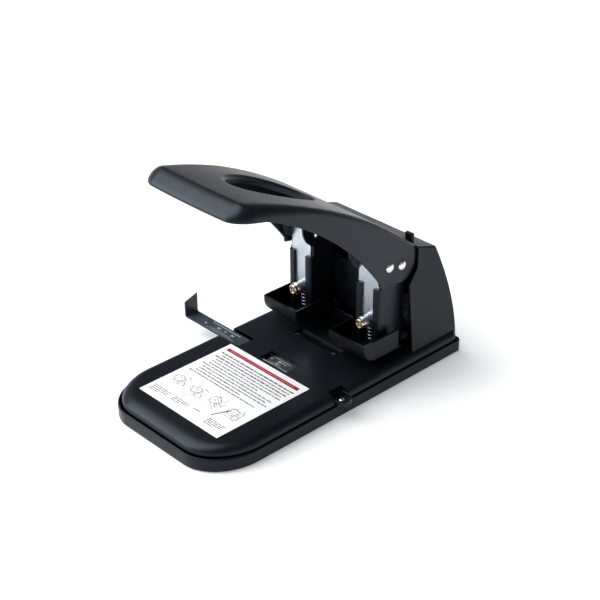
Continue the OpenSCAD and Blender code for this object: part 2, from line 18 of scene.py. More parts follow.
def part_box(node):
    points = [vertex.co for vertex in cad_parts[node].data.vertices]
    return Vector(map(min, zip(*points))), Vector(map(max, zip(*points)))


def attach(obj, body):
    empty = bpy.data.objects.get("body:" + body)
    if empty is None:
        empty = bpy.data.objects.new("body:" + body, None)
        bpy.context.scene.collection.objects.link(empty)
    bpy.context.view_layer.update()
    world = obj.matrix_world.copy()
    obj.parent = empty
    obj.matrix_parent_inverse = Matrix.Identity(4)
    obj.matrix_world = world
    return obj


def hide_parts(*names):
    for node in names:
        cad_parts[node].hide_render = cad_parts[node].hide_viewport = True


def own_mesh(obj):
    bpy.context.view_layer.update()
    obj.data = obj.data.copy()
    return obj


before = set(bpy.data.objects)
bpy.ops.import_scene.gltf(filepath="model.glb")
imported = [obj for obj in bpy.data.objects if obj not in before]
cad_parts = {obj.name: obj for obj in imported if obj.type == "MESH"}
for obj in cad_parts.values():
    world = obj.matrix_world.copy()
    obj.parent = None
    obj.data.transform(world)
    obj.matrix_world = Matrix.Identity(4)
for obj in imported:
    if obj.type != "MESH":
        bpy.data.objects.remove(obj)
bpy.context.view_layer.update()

LOG = logging.getLogger("punch")
MM = 0.001
SMOOTH_ANGLE = radians(32)
QUARTER = pi / 2
UP = Vector((0, 0, 1))

Pair = tuple[float, float]
Triple = tuple[float, float, float]
Mesh = bmesh.types.BMesh
Vert = bmesh.types.BMVert
Edge = bmesh.types.BMEdge
Face = bmesh.types.BMFace
Tree = bpy.types.NodeTree
Socket = bpy.types.NodeSocket
Material = bpy.types.Material


class Body(Enum):
    """The rigid bodies that a piece may ride on."""

    FRAME = "frame"
    HANDLE = "handle"
    LEFT_UNIT = "left_punch_unit"
    RIGHT_UNIT = "right_punch_unit"
    GUIDE = "paper_guide"


class Side(Enum):
    """The two punch units, with the sign of their X."""

    LEFT = -1
    RIGHT = 1

    @property
    def word(self) -> str:
        """The side's name as the nodes have it."""
        return self.name.lower()

    @property
    def unit(self) -> Body:
        """The body that this side's punch rides on."""
        return Body.LEFT_UNIT if self is Side.LEFT else Body.RIGHT_UNIT


@dataclass(frozen=True)
class Box:
    """The box of a node at rest, in millimetres."""

    lo: Vector
    hi: Vector

    @classmethod
    def of(cls, node: str) -> "Box":
        """Reads a node's box from the frame."""
        lo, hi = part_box(node)
        return cls(lo / MM, hi / MM)

    @property
    def centre(self) -> Vector:
        """The middle of the box."""
        return (self.lo + self.hi) / 2

    @property
    def size(self) -> Vector:
        """The box's three sides."""
        return self.hi - self.lo


# ---------------------------------------------------------------- finishes


def linear(colour: str) -> tuple[float, float, float, float]:
    """Turns an sRGB hex colour to the linear values that a shader takes.

    Args:
        colour: Six hex digits after a hash sign.

    Returns:
        Red, green, blue and an alpha of one.
    """
    parts = [int(colour[i:i + 2], 16) / 255 for i in (1, 3, 5)]
    red, green, blue = (c / 12.92 if c <= 0.04045 else ((c + 0.055) / 1.055) ** 2.4 for c in parts)
    return red, green, blue, 1.0


def add_node(tree: Tree, kind: str, inputs: dict, **settings: object) -> bpy.types.Node:
    """Adds a node with its settings, values and links.

    Args:
        tree: The node tree that takes the node.
        kind: The node's type name, without its prefix.
        inputs: Input sockets, by name or number, and their values or the sockets they are linked from.
        settings: Attributes of the node.

    Returns:
        The new node.
    """
    node = tree.nodes.new(f"ShaderNode{kind}")
    for name, value in settings.items():
        setattr(node, name, value)
    for name, value in inputs.items():
        if isinstance(value, Socket):
            tree.links.new(value, node.inputs[name])
        else:
            node.inputs[name].default_value = value
    return node


@dataclass(frozen=True)
class Finish:
    """What every finish has: a name, its main colour and its gloss."""

    name: str
    colour: str
    second: str
    roughness: float
    spread: float = 0.06
    cloud_mm: float = 35.0

    def start(self) -> tuple[Material, Tree, Socket]:
        """Makes an empty node material and the point that its patterns read.

        Returns:
            The material, its node tree and the point.
        """
        material = bpy.data.materials.new(self.name)
        material.use_nodes = True
        material.diffuse_color = linear(self.colour)
        tree = material.node_tree
        tree.nodes.clear()
        return material, tree, add_node(tree, "TexCoord", {}).outputs["Object"]

    def clouds(self, tree: Tree, point: Socket) -> tuple[Socket, Socket]:
        """Slow changes of tone and gloss over the surface.

        Args:
            tree: The material's node tree.
            point: The point that the pattern reads.

        Returns:
            The colour and the roughness.
        """
        noise = add_node(tree, "TexNoise", {"Vector": point, "Scale": 1 / (self.cloud_mm * MM),
                                            "Detail": 3.0, "Roughness": 0.55}).outputs["Fac"]
        tone = add_node(tree, "Mix", {"Factor": noise, 6: linear(self.colour), 7: linear(self.second)},
                        data_type="RGBA")
        gloss = add_node(tree, "MapRange", {"Value": noise, "From Min": 0.3, "From Max": 0.7,
                                            "To Min": self.roughness - self.spread,
                                            "To Max": self.roughness + self.spread})
        return tone.outputs[2], gloss.outputs["Result"]

    def close(self, tree: Tree, height: Socket, bump_mm: float, inputs: dict) -> None:
        """Adds the bumps, the shader and the output.

        Args:
            tree: The material's node tree.
            height: The pattern that the bumps follow.
            bump_mm: How deep the bumps are.
            inputs: The shader's own inputs.
        """
        bump = add_node(tree, "Bump", {"Strength": 1.0, "Distance": bump_mm * MM, "Height": height})
        shader = add_node(tree, "BsdfPrincipled", {**inputs, "Normal": bump.outputs["Normal"]})
        add_node(tree, "OutputMaterial", {"Surface": shader.outputs["BSDF"]})


@dataclass(frozen=True)
class Coated(Finish):
    """Paint, powder coat, plastic or rubber: an even grain with fine bumps."""

    grain_mm: float = 1.2
    bump_mm: float = 0.02
    ior: float = 1.5
    specular: float = 0.34
    # A cool blue cast on every reflection: a painted reflection colour, the same under any lamp.
    tint: str = "#d3e2f6"
    # Emission in the finish's own colour: painted light on the label, and an even brightness on the floor backdrop.
    glow: float = 0.0

    def build(self) -> Material:
        """Makes the material.

        Returns:
            The material.
        """
        material, tree, point = self.start()
        colour, roughness = self.clouds(tree, point)
        grain = add_node(tree, "TexNoise", {"Vector": point, "Scale": 1 / (self.grain_mm * MM),
                                            "Detail": 4.0, "Roughness": 0.6})
        self.close(tree, grain.outputs["Fac"], self.bump_mm, {
            "Base Color": colour, "Roughness": roughness, "IOR": self.ior, "Specular IOR Level": self.specular,
            "Specular Tint": linear(self.tint), "Emission Color": linear(self.colour),
            "Emission Strength": self.glow})
        return material


@dataclass(frozen=True)
class Metal(Finish):
    """Bare or plated metal, with the streaks that rolling, drawing or brushing leaves."""

    streak_mm: Triple = (0.8, 0.8, 14.0)
    streak_depth: float = 0.12
    bump_mm: float = 0.006

    def build(self) -> Material:
        """Makes the material.

        Returns:
            The material.
        """
        material, tree, point = self.start()
        colour, roughness = self.clouds(tree, point)
        scaled = add_node(tree, "Mapping", {"Vector": point,
                                            "Scale": tuple(1 / (s * MM) for s in self.streak_mm)})
        streak = add_node(tree, "TexNoise", {"Vector": scaled.outputs["Vector"], "Scale": 1.0,
                                             "Detail": 3.0, "Roughness": 0.6}).outputs["Fac"]
        shade = add_node(tree, "MapRange", {"Value": streak, "From Min": 0.25, "From Max": 0.75,
                                            "To Min": -self.streak_depth, "To Max": self.streak_depth})
        gloss = add_node(tree, "Math", {0: roughness, 1: shade.outputs["Result"]}, operation="ADD",
                         use_clamp=True)
        self.close(tree, streak, self.bump_mm, {"Base Color": colour, "Metallic": 1.0,
                                                "Roughness": gloss.outputs["Value"]})
        return material


# Stoved enamel on pressed steel: sprayed and baked, so it is smooth with a soft, even sheen.
HANDLE_ENAMEL = Coated("handle_enamel", "#121518", "#15191d", 0.36, 0.03, grain_mm=2.2, bump_mm=0.008,
                       specular=0.36)
# Powder coat on steel sheet: melted powder leaves a faint orange peel of about a millimetre.
POWDER_COAT = Coated("black_powder_coat", "#0d1115", "#11161b", 0.38, 0.04, grain_mm=1.1, bump_mm=0.012)
# ABS moulded in a spark-eroded tool. The real grain is 0.1 mm, drawn coarser so that it shows.
MOULDED_PLASTIC = Coated("moulded_plastic", "#0a0d10", "#0e1216", 0.34, 0.04, grain_mm=0.8, bump_mm=0.01,
                         specular=0.25)
# Nitrile rubber, moulded matt.
FOOT_RUBBER = Coated("foot_rubber", "#141516", "#1b1c1d", 0.8, 0.05, grain_mm=0.7, bump_mm=0.04, ior=1.52)
# Coated paper label under a clear film. Its faint glow is painted light that keeps the white bright as if lit.
LABEL_FILM = Coated("label_film", "#fbfbf9", "#f3f4f6", 0.34, 0.03, grain_mm=3.0, bump_mm=0.006, glow=0.16)
# Screen-printed inks on the label and the guide.
INK_RED = Coated("label_ink_red", "#b3203b", "#a91b35", 0.4, 0.03, grain_mm=0.6, bump_mm=0.004)
HEADING_WORDS = Coated("label_heading_words", "#e58f9c", "#dc8391", 0.4, 0.03, grain_mm=0.6, bump_mm=0.004)
INK_DARK = Coated("label_ink_dark", "#4b4f55", "#5d6167", 0.45, 0.03, grain_mm=0.6, bump_mm=0.004)
INK_PALE = Coated("label_ink_pale", "#8b8782", "#9d9993", 0.45, 0.03, grain_mm=0.6, bump_mm=0.004)
SCALE_WHITE = Coated("scale_white", "#d9dde0", "#c7ccd0", 0.45, 0.03, grain_mm=0.6, bump_mm=0.004)
# Blacked screw steel: an oxide skin with a dull gloss.
BLACK_SCREW = Coated("black_screw", "#1d1f21", "#26282b", 0.4, 0.06, grain_mm=0.8, bump_mm=0.01, ior=1.8)
# Bright zinc plate on rolled strip: pale, with a cool tint and streaks along the rolling.
ZINC_PLATE = Metal("zinc_plate", "#d6dddf", "#a9b5c2", 0.34, 0.06, cloud_mm=17.0, streak_depth=0.08)
# Bright nickel on turned steel pins.
BRIGHT_NICKEL = Metal("bright_nickel", "#ebebe8", "#dfdfdc", 0.13, 0.02, streak_mm=(6.0, 0.7, 0.7),
                      streak_depth=0.03, bump_mm=0.0005)
# Yellow passivated zinc on a cold-headed bolt.
YELLOW_ZINC = Metal("yellow_zinc", "#f0e7d6", "#decdb2", 0.24, 0.03, cloud_mm=5.0, streak_mm=(0.6, 5.0, 0.6),
                    streak_depth=0.04, bump_mm=0.001)
# Hardened tool steel, left black from the quench on its broad faces.
TOOL_STEEL = Metal("tool_steel", "#4a4e53", "#3d4146", 0.32, 0.04, streak_mm=(9.0, 0.5, 0.5))
# Drawn steel with clear zinc: screws, springs and rails.
PLAIN_STEEL = Metal("plain_steel", "#b7babf", "#a2a6ab", 0.32, 0.05, streak_mm=(1.0, 1.0, 1.0),
                    streak_depth=0.06)
# Phosphated spring steel strip: the crystal skin is matt and grey, with a fine grain.
GUIDE_STEEL = Coated("guide_steel", "#343a41", "#434a52", 0.32, 0.05, cloud_mm=14.0, grain_mm=0.6,
                     bump_mm=0.006, specular=0.5)
# Matt paper backdrop, pale and even.
FLOOR_PAINT = Coated("studio_floor", "#f4f5f6", "#f2f3f4", 0.8, 0.03, cloud_mm=400.0, grain_mm=6.0,
                     bump_mm=0.0, specular=0.1, glow=0.35)
# Bright steel for a thin strip that paints a highlight along the back stop's top front edge.
HIGHLIGHT_STRIP_STEEL = Metal("bare_edge", "#d8dadd", "#c4c7cb", 0.28, 0.04, streak_mm=(6.0, 0.5, 0.5), streak_depth=0.05)


class Palette:
    """Builds each finish once and hands it out."""

    def __init__(self) -> None:
        """Starts with no material made."""
        self._made: dict[str, Material] = {}

    def get(self, finish: Coated | Metal) -> Material:
        """Gives the material of a finish.

        Args:
            finish: The finish.

        Returns:
            Its material, the same one each time.
        """
        if finish.name not in self._made:
            self._made[finish.name] = finish.build()
        return self._made[finish.name]


PALETTE = Palette()


# ---------------------------------------------------------------- mesh tools


def place_box(bm: Mesh, lo: Sequence[float], hi: Sequence[float]) -> list[Vert]:
    """Adds a block given by its lowest and highest corners.

    Args:
        bm: The mesh.
        lo: The lowest corner.
        hi: The highest corner.

    Returns:
        The block's vertices.
    """
    low, high = Vector(lo), Vector(hi)
    verts = bmesh.ops.create_cube(bm, size=1.0)["verts"]
    bmesh.ops.scale(bm, vec=high - low, verts=verts)
    bmesh.ops.translate(bm, vec=(low + high) / 2, verts=verts)
    return verts


def place_object(name: str, data: bpy.types.ID) -> bpy.types.Object:
    """Puts a mesh, a light or a camera in the scene.

    Args:
        name: The object's name.
        data: What it shows.

    Returns:
        The object.
    """
    thing = bpy.data.objects.new(name, data)
    bpy.context.scene.collection.objects.link(thing)
    return thing


def outward(bm: Mesh) -> None:
    """Merges doubles and turns every face outwards."""
    bmesh.ops.remove_doubles(bm, verts=bm.verts, dist=1e-4)
    bmesh.ops.recalc_face_normals(bm, faces=bm.faces)


def face_towards(bm: Mesh, direction: Vector) -> None:
    """Turns an open skin so that its furthest face along a direction looks that way.

    Args:
        bm: The skin.
        direction: The direction.
    """
    bmesh.ops.recalc_face_normals(bm, faces=bm.faces)
    furthest = max(bm.faces, key=lambda f: f.calc_center_median().dot(direction) + 1e-3 * f.calc_area())
    if furthest.normal.dot(direction) < 0:
        bmesh.ops.reverse_faces(bm, faces=bm.faces)


def sharp_edges(bm: Mesh, angle: float) -> list[Edge]:
    """Edges whose two faces meet at more than an angle in degrees."""
    return [e for e in bm.edges if len(e.link_faces) == 2 and e.calc_face_angle(0) > radians(angle)]


def round_off(bm: Mesh, edges: Iterable[Edge], radius: float, segments: int) -> None:
    """Rounds edges to a radius."""
    bmesh.ops.bevel(bm, geom=list(edges), offset=radius, offset_type="OFFSET", segments=segments, profile=0.5,
                    affect="EDGES", clamp_overlap=True, material=-1)


def pull(bm: Mesh, edges: Sequence[Edge],
         shift: Sequence[float] = (0, 0, 0)) -> tuple[list[Vert], list[Edge]]:
    """Extrudes edges and moves the new ones.

    Args:
        bm: The mesh.
        edges: The edges.
        shift: How far the new edges move.

    Returns:
        The new vertices, and the edges between them.
    """
    made = bmesh.ops.extrude_edge_only(bm, edges=edges)["geom"]
    verts = [v for v in made if isinstance(v, Vert)]
    bmesh.ops.translate(bm, vec=shift, verts=verts)
    known = set(verts)
    return verts, [e for e in made if isinstance(e, Edge) and set(e.verts) <= known]


def cut_region(bm: Mesh, planes: Sequence[tuple[Vector, Vector]]) -> None:
    """Cuts a convex region out of a skin.

    Args:
        bm: The skin.
        planes: A point on each plane and its normal, which points out of the region.
    """
    for point, normal in planes:
        geom = [*bm.verts, *bm.edges, *bm.faces]
        bmesh.ops.bisect_plane(bm, geom=geom, dist=1e-4, plane_co=point, plane_no=normal)
    inside = [f for f in bm.faces
              if all((f.calc_center_median() - point).dot(normal) < -1e-4 for point, normal in planes)]
    bmesh.ops.delete(bm, geom=inside, context="FACES")


def cut_box(bm: Mesh, lo: Sequence[float], hi: Sequence[float]) -> None:
    """Cuts a box out of a skin, given by its lowest and highest corners.

    Args:
        bm: The skin.
        lo: The lowest corner.
        hi: The highest corner.
    """
    planes = []
    for axis in range(3):
        normal = Vector((0, 0, 0))
        normal[axis] = 1
        planes += [(Vector(hi), normal), (Vector(lo), -normal)]
    cut_region(bm, planes)


def cut_round(bm: Mesh, x: float, y: float, radius: float, steps: int = 28) -> None:
    """Cuts a round hole down through a flat skin.

    Args:
        bm: The skin.
        x: X of the hole's axis.
        y: Y of the hole's axis.
        radius: The hole's radius.
        steps: How many sides its rim has.
    """
    reach = radius * 1.35
    for normal in (Vector((1, 0, 0)), Vector((-1, 0, 0)), Vector((0, 1, 0)), Vector((0, -1, 0))):
        bmesh.ops.bisect_plane(bm, geom=[*bm.verts, *bm.edges, *bm.faces], dist=1e-4, plane_no=normal,
                               plane_co=Vector((x, y, 0)) + normal * reach)

    def within(size: float) -> list[Face]:
        """Flat faces whose middles lie within a square round the axis."""
        spots = ((f, f.calc_center_median()) for f in bm.faces if abs(f.normal.z) > 0.9)
        return [f for f, c in spots if max(abs(c.x - x), abs(c.y - y)) < size]

    for i in range(steps):
        a = 2 * pi * i / steps
        normal = Vector((cos(a), sin(a), 0))
        faces = within(reach)
        near = {g for f in faces for g in (*f.verts, *f.edges)}
        bmesh.ops.bisect_plane(bm, geom=[*near, *faces], dist=1e-4, plane_no=normal,
                               plane_co=Vector((x, y, 0)) + normal * radius * cos(pi / steps))
    inside = [f for f in within(reach)
              if hypot(f.calc_center_median().x - x, f.calc_center_median().y - y) < radius * 0.995
              and all(hypot(v.co.x - x, v.co.y - y) < radius * 1.004 for v in f.verts)]
    bmesh.ops.delete(bm, geom=inside, context="FACES")


def turned(bm: Mesh, profile: Sequence[Pair], start: Vector, axis: Vector,
           steps: int = 40) -> None:
    """Turns a profile about an axis, as on a lathe.

    Args:
        bm: The mesh that takes the turned piece.
        profile: Radius and distance along the axis of each point, from one end to the other.
        start: Where the distance along the axis is nought.
        axis: The direction of the axis.
        steps: How many segments go round.
    """
    away = axis.orthogonal().normalized()
    verts = [bm.verts.new(start + axis * along + away * radius) for radius, along in profile]
    edges = [bm.edges.new(pair) for pair in zip(verts, verts[1:])]
    bmesh.ops.spin(bm, geom=[*verts, *edges], cent=start, axis=axis, angle=2 * pi, steps=steps,
                   use_merge=True)
    outward(bm)


def arc_steps(count: int) -> list[float]:
    """Angles from just over nought to a right angle."""
    return [QUARTER * (i + 1) / count for i in range(count)]


def dome(radius: float, height: float, base: float, steps: int = 7) -> list[Pair]:
    """Profile of a domed head that stands on its base and ends on the axis."""
    rise = [(radius * cos(a), base + height * sin(a)) for a in arc_steps(steps)[:-1]]
    return [(radius, base), *rise, (0.0, base + height)]


class Skin:
    """A skin that grows from a run of stations. Each step extrudes its rim and moves every vertex."""

    def __init__(self, points: Sequence[Vector], closed: bool) -> None:
        """Starts the skin with a run of edges.

        Args:
            points: Where each station starts.
            closed: Whether the last station joins the first.
        """
        self.bm = bmesh.new()
        self.station = self.bm.verts.layers.int.new("station")
        verts = [self.bm.verts.new(p) for p in points]
        for i, vert in enumerate(verts):
            vert[self.station] = i
        ring = verts + verts[:1] if closed else verts
        self.rim = [self.bm.edges.new(pair) for pair in zip(ring, ring[1:])]

    def step(self, place: Callable[[int], Vector]) -> None:
        """Extrudes the rim, and gives each station its new place.

        Args:
            place: Gives the place of a station by its number.
        """
        verts, self.rim = pull(self.bm, self.rim)
        for vert in verts:
            vert.co = place(vert[self.station])

    def keep_rim(self, wanted: Callable[[int], bool]) -> None:
        """Goes on only from the rim's edges whose two stations are wanted."""
        self.rim = [e for e in self.rim if all(wanted(v[self.station]) for v in e.verts)]

    def fill(self) -> None:
        """Closes the rim with one face."""
        bmesh.ops.contextual_create(self.bm, geom=self.rim)


@dataclass(frozen=True)
class Spot:
    """A station of a plan outline: its point and the way out of the outline there."""

    point: Vector
    out: Vector


def rounded_outline(half_w: float, front: float, rear: float, corner: Pair, rear_r: float,
                    steps: int = 16) -> list[Spot]:
    """Stations round a rectangle with round corners, from the rear right corner forwards.

    Args:
        half_w: Half of the width.
        front: Y of the front edge.
        rear: Y of the rear edge.
        corner: Reach of the two front corners along X and along Y.
        rear_r: Radius of the two rear corners.
        steps: Segments in each corner.

    Returns:
        The stations.
    """
    wide, deep = corner
    back = rear - rear_r, rear_r, rear_r
    fore = front + deep, wide, deep
    corners = [(half_w - rear_r, *back, 90), (half_w - wide, *fore, 0),
               (wide - half_w, *fore, -90), (rear_r - half_w, *back, -180)]
    spots = []
    for x, y, across, along, start in corners:
        for i in range(steps + 1):
            a = radians(start - 90 * i / steps)
            out = Vector((cos(a) * along, sin(a) * across, 0)).normalized()
            spots.append(Spot(Vector((x + cos(a) * across, y + sin(a) * along, 0)), out))
    return spots


def grow(skin: Skin, spots: Sequence[Spot], inset: float | Callable[[int], float], z: float) -> None:
    """Takes a skin one step, to a distance inside an outline and a height.

    Args:
        skin: The skin.
        spots: The outline's stations, one for each of the skin's.
        inset: How far inside the outline, the same all round or by station.
        z: The height.
    """
    deep = inset if callable(inset) else lambda i: inset
    skin.step(lambda i: spots[i].point - spots[i].out * deep(i) + UP * z)


# ---------------------------------------------------------------- pieces


@dataclass(frozen=True)
class Piece:
    """What a finished mesh is called, what it rides on, and what it stands for."""

    name: str
    body: Body
    finish: Coated | Metal
    stands_for: str = ""
    slot: str = ""                  # a slot name, given where it differs from the finish's

    def make(self, bm: Mesh, sheet: float = 0.0, rounding: float = 0.0, segments: int = 2
             ) -> bpy.types.Object:
        """Turns a mesh in millimetres into a finished object.

        Args:
            bm: The mesh, which is freed.
            sheet: Thickness given to an open skin, inwards.
            rounding: Radius of its sharp edges.
            segments: Segments of that rounding.

        Returns:
            The object, riding on its body.
        """
        bmesh.ops.scale(bm, vec=(MM, MM, MM), verts=bm.verts)
        mesh = bpy.data.meshes.new(self.name)
        bm.to_mesh(mesh)
        bm.free()
        piece = place_object(self.name, mesh)
        if sheet:
            wall = piece.modifiers.new("wall", "SOLIDIFY")
            wall.thickness = sheet * MM
            wall.offset = -1
            wall.use_even_offset = True
        if rounding:
            soft = piece.modifiers.new("soft", "BEVEL")
            soft.width = rounding * MM
            soft.segments = segments
            soft.limit_method = "ANGLE"
            soft.angle_limit = radians(50)
        if piece.modifiers:
            graph = bpy.context.evaluated_depsgraph_get()
            final = bpy.data.meshes.new_from_object(piece.evaluated_get(graph))
            piece.modifiers.clear()
            piece.data = final
            final.name = self.name
            bpy.data.meshes.remove(mesh)
        self.dress(piece)
        return piece

    def dress(self, piece: bpy.types.Object) -> None:
        """Shades a piece, gives it its material and sets what it rides on and stands for.

        Args:
            piece: The object.
        """
        mesh = piece.data
        mesh.shade_smooth()
        mesh.set_sharp_from_angle(angle=SMOOTH_ANGLE)
        mesh.materials.clear()
        mesh.materials.append(PALETTE.get(self.finish))
        normals = piece.modifiers.new("normals", "WEIGHTED_NORMAL")
        normals.keep_sharp = True
        normals.weight = 50
        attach(piece, self.body.value)
        if self.stands_for:
            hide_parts(self.stands_for)
        LOG.info("%s: %d faces on %s", self.name, len(mesh.polygons), self.body.value)


def refined(node: str, radius: float) -> Mesh:
    """Copies a node's mesh, joins its loose faces and rounds its edges.

    Args:
        node: The node's name.
        radius: Radius of the rounded edges, in millimetres.

    Returns:
        The mesh in millimetres.
    """
    bm = bmesh.new()
    bm.from_mesh(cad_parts[node].data)
    bmesh.ops.scale(bm, vec=(1 / MM,) * 3, verts=bm.verts)
    bmesh.ops.remove_doubles(bm, verts=bm.verts, dist=1e-3)
    bmesh.ops.dissolve_limit(bm, angle_limit=radians(1), verts=bm.verts, edges=bm.edges)
    if radius:
        round_off(bm, sharp_edges(bm, 40), radius, 2)
    return bm


@dataclass
class Base:
    """The tray, its feet, the pressed plate and the side lug."""

    shoulder_side: float = 6.8      # width of the plate's rolled shoulder along the sides
    shoulder_front: float = 13.0    # and along the front, where it is drawn wider
    shoulder_rear: float = 2.6      # and along the rear, under the cover
    shoulder_h: float = 7.0
    corner: Pair = (37.0, 45.0)     # reach of the front corners along X and along Y
    plate_rear_corner: float = 7.2
    ledge_side: float = 0.9         # how far the tray's rim shows outside the plate along the sides
    ledge_front: float = 1.9        # and along the front
    sheet: float = 2.0
    tray_rear_corner: float = 5.0
    tray_wall: float = 2.4
    tray_floor: float = 2.0
    notch_x: float = -41.0          # where the guide's notch ends
    window: Pair = (-16.0, 17.0)
    recess: float = 26.0            # half width of the die bar's recess
    teeth: tuple[float, ...] = (-2.7, 7.4)          # X of the window's two pointers
    tooth: float = 2.1              # their half width and their height
    foot_r: float = 7.0
    foot_soft: float = 0.5
    lug_wall: float = 1.2
    plate: Box = field(default_factory=lambda: Box.of("base_plate"))
    tray: Box = field(default_factory=lambda: Box.of("base_tray"))
    strip: Box = field(default_factory=lambda: Box.of("paper_guide"))
    lug: Box = field(default_factory=lambda: Box.of("side_lug"))
    bar: Box = field(default_factory=lambda: Box.of("die_plate"))

    def make_tray(self) -> None:
        """Models the moulded tray as one closed wall with soft edges."""
        box = self.tray
        spots = rounded_outline(box.hi.x, box.lo.y, box.hi.y, self.corner, self.tray_rear_corner)
        low, rim = box.lo.z, self.lug.lo.z
        soft, lip = 0.8, 1.0
        skin = Skin([s.point - s.out * soft + UP * low for s in spots], closed=True)
        skin.fill()
        for a in arc_steps(4):
            grow(skin, spots, soft * (1 - sin(a)), low + soft * (1 - cos(a)))
        grow(skin, spots, 0.0, rim - lip)
        for a in arc_steps(3):
            grow(skin, spots, lip * (1 - cos(a)), rim - lip * (1 - sin(a)))
        grow(skin, spots, self.tray_wall - lip, rim)
        for a in arc_steps(3):
            grow(skin, spots, self.tray_wall - lip * (1 - sin(a)), rim - lip * (1 - cos(a)))
        grow(skin, spots, self.tray_wall, low + self.tray_floor)
        skin.fill()
        outward(skin.bm)
        Piece("tray_moulding", Body.FRAME, MOULDED_PLASTIC, "base_tray").make(skin.bm)

    def make_feet(self) -> None:
        """Models the five rubber feet as turned discs with a soft lower edge."""
        bm = bmesh.new()
        box = Box.of("rubber_feet")
        radius, soft = self.foot_r, self.foot_soft
        profile = [(0.0, 0.0), (radius - soft, 0.0)]
        profile += [(radius - soft + soft * sin(a), soft - soft * cos(a)) for a in arc_steps(4)]
        profile += [(radius, box.hi.z), (0.0, box.hi.z)]
        wide, long = box.hi.x - radius, box.hi.y - radius
        for x, y in ((0, 0), (-wide, -long), (-wide, long), (wide, -long), (wide, long)):
            turned(bm, profile, Vector((x, y, 0)), UP, 36)
        Piece("feet", Body.FRAME, FOOT_RUBBER, "rubber_feet").make(bm)

    def make_plate(self) -> None:
        """Models the pressed plate: a flat top, a rolled shoulder and its cut-outs."""
        box = self.plate
        side = self.ledge_side
        spots = rounded_outline(box.hi.x - side, box.lo.y + self.ledge_front, box.hi.y - side,
                                self.corner, self.plate_rear_corner)
        extra = self.shoulder_front - self.shoulder_side
        less = self.shoulder_side - self.shoulder_rear
        widths = [self.shoulder_side + extra * max(0.0, -s.out.y) ** 1.6 - less * max(0.0, s.out.y)
                  for s in spots]
        top = box.hi.z
        skin = Skin([s.point - s.out * w + UP * top for s, w in zip(spots, widths)], closed=True)
        skin.fill()
        for a in arc_steps(10):
            drop = self.shoulder_h * (1 - cos(a))
            grow(skin, spots, lambda i: widths[i] * (1 - sin(a)), top - drop)
        grow(skin, spots, 0.0, box.lo.z)
        face_towards(skin.bm, UP)
        self.cut_plate(skin.bm)
        Piece("plate_pressing", Body.FRAME, POWDER_COAT, "base_plate").make(
            skin.bm, sheet=self.sheet, rounding=0.35)

    def cut_plate(self, bm: Mesh) -> None:
        """Cuts the guide's notch, the window, the lug's notch and the recess.

        Args:
            bm: The plate's skin.
        """
        far = 100.0
        top = self.plate.hi.z + 1
        front, back = self.strip.lo.y, self.strip.hi.y
        edge = back - 2.5
        cut_box(bm, (-far, front - 5, self.plate.lo.z + 1), (self.notch_x, back + 1, top))
        cut_box(bm, (self.window[0], front - 3.5, 0), (self.window[1], edge, top))
        for x in self.teeth:
            tip, half = Vector((x, edge + self.tooth, 0)), Vector((self.tooth, 0, 0))
            cut_region(bm, [(tip, Vector((1, 1, 0)).normalized()), (tip, Vector((-1, 1, 0)).normalized()),
                            (Vector((x, edge + 0.001, 0)), Vector((0, -1, 0))),
                            (tip + half, Vector((1, 0, 0))), (tip - half, Vector((-1, 0, 0)))])
        cut_box(bm, (-self.recess, self.bar.lo.y + 6.5, 0), (self.recess, self.bar.lo.y + 16.5, top))
        cut_box(bm, (self.lug.lo.x - 0.2, self.lug.lo.y - 0.2, 0), (far, self.lug.hi.y + 0.2, top))
        for side in Side:
            die = Box.of(f"{side.word}_die")
            cut_round(bm, die.centre.x, die.centre.y, die.size.x / 2)

    def make_lug(self) -> None:
        """Models the cup at the right edge, and the screw in it."""
        box = self.lug
        radius = box.size.y / 2
        middle = Vector((box.hi.x - radius, box.centre.y, 0))
        outs = [Vector((cos(a), sin(a), 0)) for a in (radians(90 - 7.5 * i) for i in range(25))]
        spots = [Spot(middle + out * radius, out) for out in outs]
        spots += [Spot(Vector((box.lo.x, middle.y + y * radius, 0)), Vector((-1, y, 0))) for y in (-1, 1)]
        soft, floor = 0.5, box.lo.z + 1.4
        skin = Skin([s.point - s.out * soft + UP * box.lo.z for s in spots], closed=True)
        skin.fill()
        grow(skin, spots, 0.0, box.lo.z + soft)
        grow(skin, spots, 0.0, box.hi.z - soft)
        for a in arc_steps(4):
            grow(skin, spots, soft * (1 - cos(a)), box.hi.z - soft * (1 - sin(a)))
        grow(skin, spots, self.lug_wall, box.hi.z - 0.3)
        grow(skin, spots, self.lug_wall, floor)
        skin.fill()
        outward(skin.bm)
        Piece("lug_cup", Body.FRAME, POWDER_COAT, "side_lug").make(skin.bm)
        screw = Box.of("lug_screw")
        bm = bmesh.new()
        neck, shank, head, side = screw.size.z - 2, 1.5, 2.9, 0.9
        profile = [(0.0, 0.0), (shank, 0.0), (shank, neck), (head, neck),
                   *dome(head, 2 - side, neck + side, 6)]
        turned(bm, profile, Vector((screw.centre.x, screw.centre.y, screw.lo.z)), UP)
        Piece("lug_screw_head", Body.FRAME, BRIGHT_NICKEL, "lug_screw").make(bm)

    def build(self) -> None:
        """Builds the whole base."""
        self.make_tray()
        self.make_feet()
        self.make_plate()
        self.make_lug()


